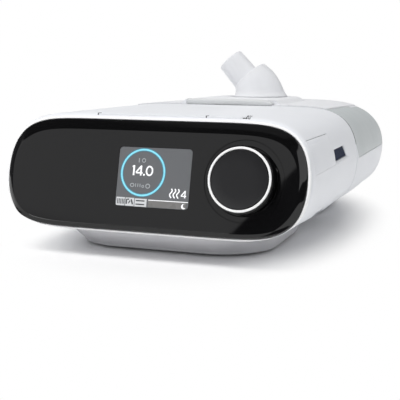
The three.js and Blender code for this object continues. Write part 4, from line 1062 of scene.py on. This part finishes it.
def seam_shadow_strip(side):
    """A thin dark strip on the lid's front edge, from the island out and down one side: painted shadow
    standing for the shade in the seam.
    """
    ring = outline(CASING)
    keep = (ring[:, 0] > 36) & (ring[:, 1] > 10.5)
    row = ring[keep]
    row = row[np.argsort(-np.arctan2(row[:, 1], row[:, 0]))]
    sink = np.interp(row[:, 0], (36, 76, 88), (0.55, 0.3, 0.03))
    inward = -row / np.linalg.norm(row * (1, 2), axis=1)[:, None] * (1, 2)
    rings = []
    for (x, z), (dx, dz), depth in zip(row, inward, sink):
        section = ((depth, 157.8), (depth, 158.47), (depth + 2.2, 158.47), (depth + 2.2, 157.8))
        rings.append(np.array([(side * (x + dx * d), y, z + dz * d + CASING_MID) for d, y in section]))
    return skin(rings)


# Painted shadow: dark strips in the lid's front seam, where there is only the seam's shade
for side_name, sign in (("right", 1), ("left", -1)):
    build("lid_seam_shadow_strip_" + side_name, seam_shadow_strip(sign), seam_painted_shadow, "lid", smooth=35)
lid = build("lid_shell", humidifier_form(0, HUM_FRONT, HUM_REAR), lid_white, "lid",
            steps=lid_shape_steps(), replaces=["humidifier_lid"], smooth=35)
# Painted shade: the lid's faces beyond 73 mm out to either side take the darker grey copy
lid.data.materials.append(lid_flank_painted_shade)
for face in lid.data.polygons:
    face.material_index = int(abs(face.center.x) > 0.07305)

latch_profile = [
    (158.8, 84.2), (166, 84.2), (166, 86.7), (165.8, 87.2), (165.3, 87.6), (164.4, 87.95), (163.2, 88.2),
    (161.8, 88.38), (160.6, 88.35), (159.8, 88.15), (159.2, 87.8), (158.88, 87.3), (158.8, 86.8),
]


def latch_shape():
    flat = np.array(latch_profile)
    rings = []
    for x, drop in ((-33, 0), (22, 0), (25, 0.03), (28, 0.13), (31, 0.34), (33, 0.55)):
        height = 84.2 + (flat[:, 1] - 84.2) * (1 - drop)
        rings.append(at_x(x, np.column_stack([flat[:, 0], height])))
    return skin(rings)


build("latch_pin_rod", rod(0.8, (-33.7, *LATCH_AXIS), (26, *LATCH_AXIS)), steel, "lid",
      replaces=["latch_pin"], bevel=0.12, smooth=35)
# The latch bar's grey is painted shade standing for its shaded front face
build("latch_bar", latch_shape(), latch_painted_shade_grey, "latch",
      steps=[
          (JOIN, slab((-12, 12), (161.2, 162.8), (81.4, 84.6))),
          (CUT, rod(1.1, (-34, *LATCH_AXIS), (27, *LATCH_AXIS), 24)),
      ],
      replaces=["lid_latch"], bevel=0.22, smooth=35)

# Outlet elbow
BELL_FOOT = 22.4
BELL_PEAK = 16.2
LEAN = math.radians(42)
TUBE_AXIS = np.array([-math.sin(LEAN), 0, math.cos(LEAN)])
TUBE_SIDE = np.array([math.cos(LEAN), 0, math.sin(LEAN)])


def tube_point(along):
    return np.array([*ELBOW_AT, 88]) + 1.6 * TUBE_SIDE + along * TUBE_AXIS


def bell_ring(share, shrink, along=0.0):
    turn = LEAN * share
    radius = BELL_FOOT + (BELL_PEAK - BELL_FOOT) * share - shrink
    centre = np.array([-7.4 * share ** 2, ELBOW_AT[1], 88.1 + 15.6 * share]) + along * TUBE_AXIS
    angle = around(96)
    across = radius * np.cos(angle)
    along_y = radius * np.sin(angle)
    return centre + np.column_stack([across * math.cos(turn), along_y, across * math.sin(turn)])


def bell():
    rings = [bell_ring(0, -1.2), bell_ring(0.015, -1.3), bell_ring(0.04, -0.9), bell_ring(0.075, -0.35)]
    for share in np.linspace(0.12, 0.96, 22):
        shrink = np.interp(share, (0.04, 0.25, 0.5, 0.75, 1), (0, 0.6, 0.4, 0.05, 0.4))
        rings.append(bell_ring(share, float(shrink)))
    for s, c in quarter_turn(7):
        rings.append(bell_ring(1, 0.4 + 1.6 * (1 - c), 1.3 * s - 0.1))
    return skin(rings)


def tube_rings():
    rings = []
    for along, radius in ((12, 12), (37.4, 10.95), (38.1, 10.88), (38.5, 10.7), (38.73, 10.45), (38.8, 10.2)):
        centre = tube_point(along)
        angle = around(72)[:, None]
        rings.append(centre + radius * (np.cos(angle) * TUBE_SIDE + np.sin(angle) * np.array([0, 1, 0])))
    return skin(rings)


def ball(radius, centre):
    profile = [(radius * math.sin(t), -radius * math.cos(t)) for t in np.linspace(0.02, math.pi - 0.02, 25)]
    points, faces = turned(profile, 64)
    return points + np.array(centre), faces


elbow_steps = [
    (JOIN, turned_at(ELBOW_AT, [(0, 80.4), (12.4, 80.4), (12.4, 90.1), (0, 90.1)])),
    (JOIN, tube_rings()),
    (CUT, turned_at(ELBOW_AT, [(0, 79), (10, 79), (10, 92), (0, 92)], 72)),
    (CUT, ball(10, (*ELBOW_AT, 92))),
    (CUT, rod(8.8, (*ELBOW_AT, 92), tube_point(41), 72)),
]
build("elbow_bell", bell(), elbow_white, "elbow", elbow_steps, ["outlet_elbow"], smooth=38)

# Air filter: its block, with a boss that fills the throat of the inlet
low, high = (np.array(corner) * 1000 + (0, OFFSET, 0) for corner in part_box("pollen_filter"))
throat = np.array(INLET_THROAT)
boss = throat + np.array([(0.3, 0.3), (-0.3, 0.3), (-0.3, -0.3), (0.3, -0.3)])
boss_rings = [at_x(high[0] - 1, boss), at_x(casing_half(boss[:, 1]) - INLET_DEPTH - 0.5, boss)]
build("filter_media", slab(*zip(low, high)), filter_blue, "housing",
      steps=[(JOIN, skin(boss_rings))], replaces=["pollen_filter"], bevel=0.3, smooth=40)

# The filter bay gives way round the door's knuckle.
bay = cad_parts["filter_bay"].data
bay_points = [tuple(v.co * 1000 + Vector((0, OFFSET, 0))) for v in bay.vertices]
build("bay_wall", (np.array(bay_points), [tuple(f.vertices) for f in bay.polygons]), dark, "housing",
      steps=[(CUT, rod(KNUCKLE + 0.15, *DOOR_LINE, 48))], replaces=["filter_bay"], smooth=35)

# What shows of the CAD pieces
carried = (
    (white, "rear_bulkhead"),
    (dark, "lcd_module therapy_switch ramp_switch sd_card power_inlet device_connector"),
    (dark, "humidifier_connector blower_lower blower_upper"),
    (board_green, "display_board main_board"),
    (rubber, "isolator_1 isolator_2 isolator_3"),
    (silicone, "blower_seal lid_seal inlet_seal tank_seal"),
    (wheel_grey, "impeller"),
    (steel, "encoder_body encoder_shaft door_pin sd_socket board_screw_1 board_screw_2"),
    (steel, "hinge_pin_1 hinge_pin_2 motor"),
    (aluminium, "tank_plate heater_plate"),
    (clear, "tank_lower tank_upper"),
)
for material, names in carried:
    for node in names.split():
        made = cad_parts[node]
        made.data.materials.clear()
        made.data.materials.append(material)

# Floor, world and lights


# The paper turns from shaded to plain white between these distances from the middle.
SHADOW_FADE = (0.078, 0.124)


def floor():
    sides = 96
    angle = around(sides)
    points = [(0.0, 0.0, 0.0)]
    faces = []
    radii = (0.3, 0.6, 1.2, 3.0, 14.0)
    for radius in radii:
        points += [(radius * math.cos(a), radius * math.sin(a), 0.0) for a in angle]
    for k in range(sides):
        faces.append((0, 1 + k, 1 + (k + 1) % sides))
    for r in range(len(radii) - 1):
        for k in range(sides):
            a = 1 + r * sides + k
            b = 1 + r * sides + (k + 1) % sides
            faces.append((a, a + sides, b + sides, b))
    mesh = bpy.data.meshes.new("floor")
    mesh.from_pydata(points, [], faces)
    mesh.update()
    made = bpy.data.objects.new("floor", mesh)
    bpy.context.collection.objects.link(made)
    made.location.z = -0.0001
    material = moulding("floor_paper", (0.93, 0.93, 0.935, 1), 0.9, bump=0.0, spread=0.004, specular=0.0)
    tree = material.node_tree
    path = add(tree, "LightPath").outputs
    where = add(tree, "NewGeometry").outputs["Position"]
    scaled = add(tree, "VectorMath", "MULTIPLY")
    scaled.inputs[1].default_value = (1, 0.55, 0)
    tree.links.new(where, scaled.inputs[0])
    length = merged(tree, "VectorMath", "LENGTH", scaled.outputs["Vector"])
    fade = between(tree, length, *SHADOW_FADE, "SMOOTHSTEP")
    rays = path["Is Camera Ray"]
    for kind in ("Is Glossy Ray", "Is Transmission Ray"):
        rays = merged(tree, "Math", "MAXIMUM", rays, path[kind])
    seen = merged(tree, "Math", "MULTIPLY", rays, fade)
    paper = tree.nodes["Principled BSDF"].outputs["BSDF"]
    glow = add(tree, "Emission").outputs["Emission"]
    mix = merged(tree, "MixShader", "", seen, paper, glow)
    tree.links.new(mix, tree.nodes["Material Output"].inputs["Surface"])
    mesh.materials.append(material)


floor()

FILL = 0.54
# The gloss on the panel shows a bright wall up to a slanting edge, and a second one at the far right.
EDGE_NORMAL = (-0.7289, 0.3904, 0.5625)
# Brightness of that room by height, from 0 straight down to 1 straight up
ROOM_LEVELS = (
    (0.55, 0.9), (0.57, 0.04), (0.605, 0.04), (0.62, 0.72), (0.71, 0.72), (0.735, 0.04), (0.925, 0.04),
    (0.95, 0.17), (1.0, 0.2),
)
# Where that room's walls begin and are full, across and in height
RIGHT_WALL = (0.42, 0.46)
RIGHT_WALL_FOOT = (0.262, 0.268)
LEFT_WALL = (-0.82, -0.9)
WALL_LIGHT = (1.3, 1.3, 1.33, 1)
WALL_DARK = (0.1, 0.1, 0.105, 1)
BEHIND_EDGE = (0.06, 0.06, 0.065, 1)
world = bpy.data.worlds.new("studio")
bpy.context.scene.world = world
world.use_nodes = True
tree = world.node_tree
tree.nodes.clear()
out = add(tree, "OutputWorld")
path = add(tree, "LightPath").outputs
fill = add(tree, "Background", Color=(0.985, 0.99, 1.0, 1), Strength=FILL).outputs["Background"]
plain = add(tree, "Background", Color=(1, 1, 1, 1)).outputs["Background"]
room = add(tree, "Background")
aim = add(tree, "TexCoord").outputs["Generated"]
side = add(tree, "VectorMath", "DOT_PRODUCT")
side.inputs[1].default_value = EDGE_NORMAL
tree.links.new(aim, side.inputs[0])
cutoff = between(tree, side.outputs["Value"], -0.002, 0.002, "SMOOTHSTEP")
split = add(tree, "SeparateXYZ")
tree.links.new(aim, split.inputs[0])
levels = add(tree, "ValToRGB")
ramp = levels.color_ramp
ramp.interpolation = "EASE"
for stop, at in zip(ramp.elements, (0.0, 0.5)):
    stop.position = at
    stop.color = (0.9, 0.9, 0.9, 1)
for at, level in ROOM_LEVELS:
    stop = ramp.elements.new(at)
    stop.color = (level, level, level * 1.01, 1)
tree.links.new(between(tree, split.outputs["Z"], -1, 1), levels.inputs["Fac"])
right_wall = between(tree, split.outputs["X"], *RIGHT_WALL)
over = between(tree, split.outputs["Z"], *RIGHT_WALL_FOOT)
left_wall = between(tree, split.outputs["X"], *LEFT_WALL)
patch_light = merged(tree, "Math", "MULTIPLY", right_wall, over)
look = blend(tree, cutoff, BEHIND_EDGE, levels.outputs["Color"])
look = blend(tree, patch_light, look, WALL_LIGHT)
look = blend(tree, left_wall, look, WALL_DARK)
tree.links.new(look, room.inputs["Color"])
first = merged(tree, "MixShader", "", path["Is Glossy Ray"], fill, room.outputs["Background"])
seen = merged(tree, "Math", "MAXIMUM", path["Is Camera Ray"], path["Is Transmission Ray"])
second = merged(tree, "MixShader", "", seen, first, plain)
tree.links.new(second, out.inputs["Surface"])


def lamp(name, shape, size, power):
    data = bpy.data.lights.new(name, "AREA")
    data.shape = shape
    data.size = size
    data.energy = power
    made = bpy.data.objects.new(name, data)
    bpy.context.collection.objects.link(made)
    return made


# A low thin strip in front, for a faint line in the panel's lower bevel
strip = lamp("strip", "RECTANGLE", 0.5, 0.24)
strip.data.size_y = 0.03
strip.matrix_world = Matrix.Translation((-0.48, -1.05, 0.06)) @ Matrix.Rotation(math.radians(90), 4, "X")
strip.visible_camera = False
# The main light, high up at the front left
KEY_AT = (-0.42, -0.66, 1.7)
KEY_TARGET = (0, 0, 0.05)
main_light = lamp("key", "DISK", 1.0, 21.5)
main_light.data.color = (1, 0.995, 0.985)
back = np.array(KEY_AT) - np.array(KEY_TARGET)
back /= np.linalg.norm(back)
right = np.cross((0, 1, 0), back)
right /= np.linalg.norm(right)
main_light.matrix_world = Matrix([*zip(right, np.cross(back, right), back, KEY_AT), (0, 0, 0, 1)])
main_light.visible_glossy = False

bpy.context.scene.view_settings.view_transform = "Standard"
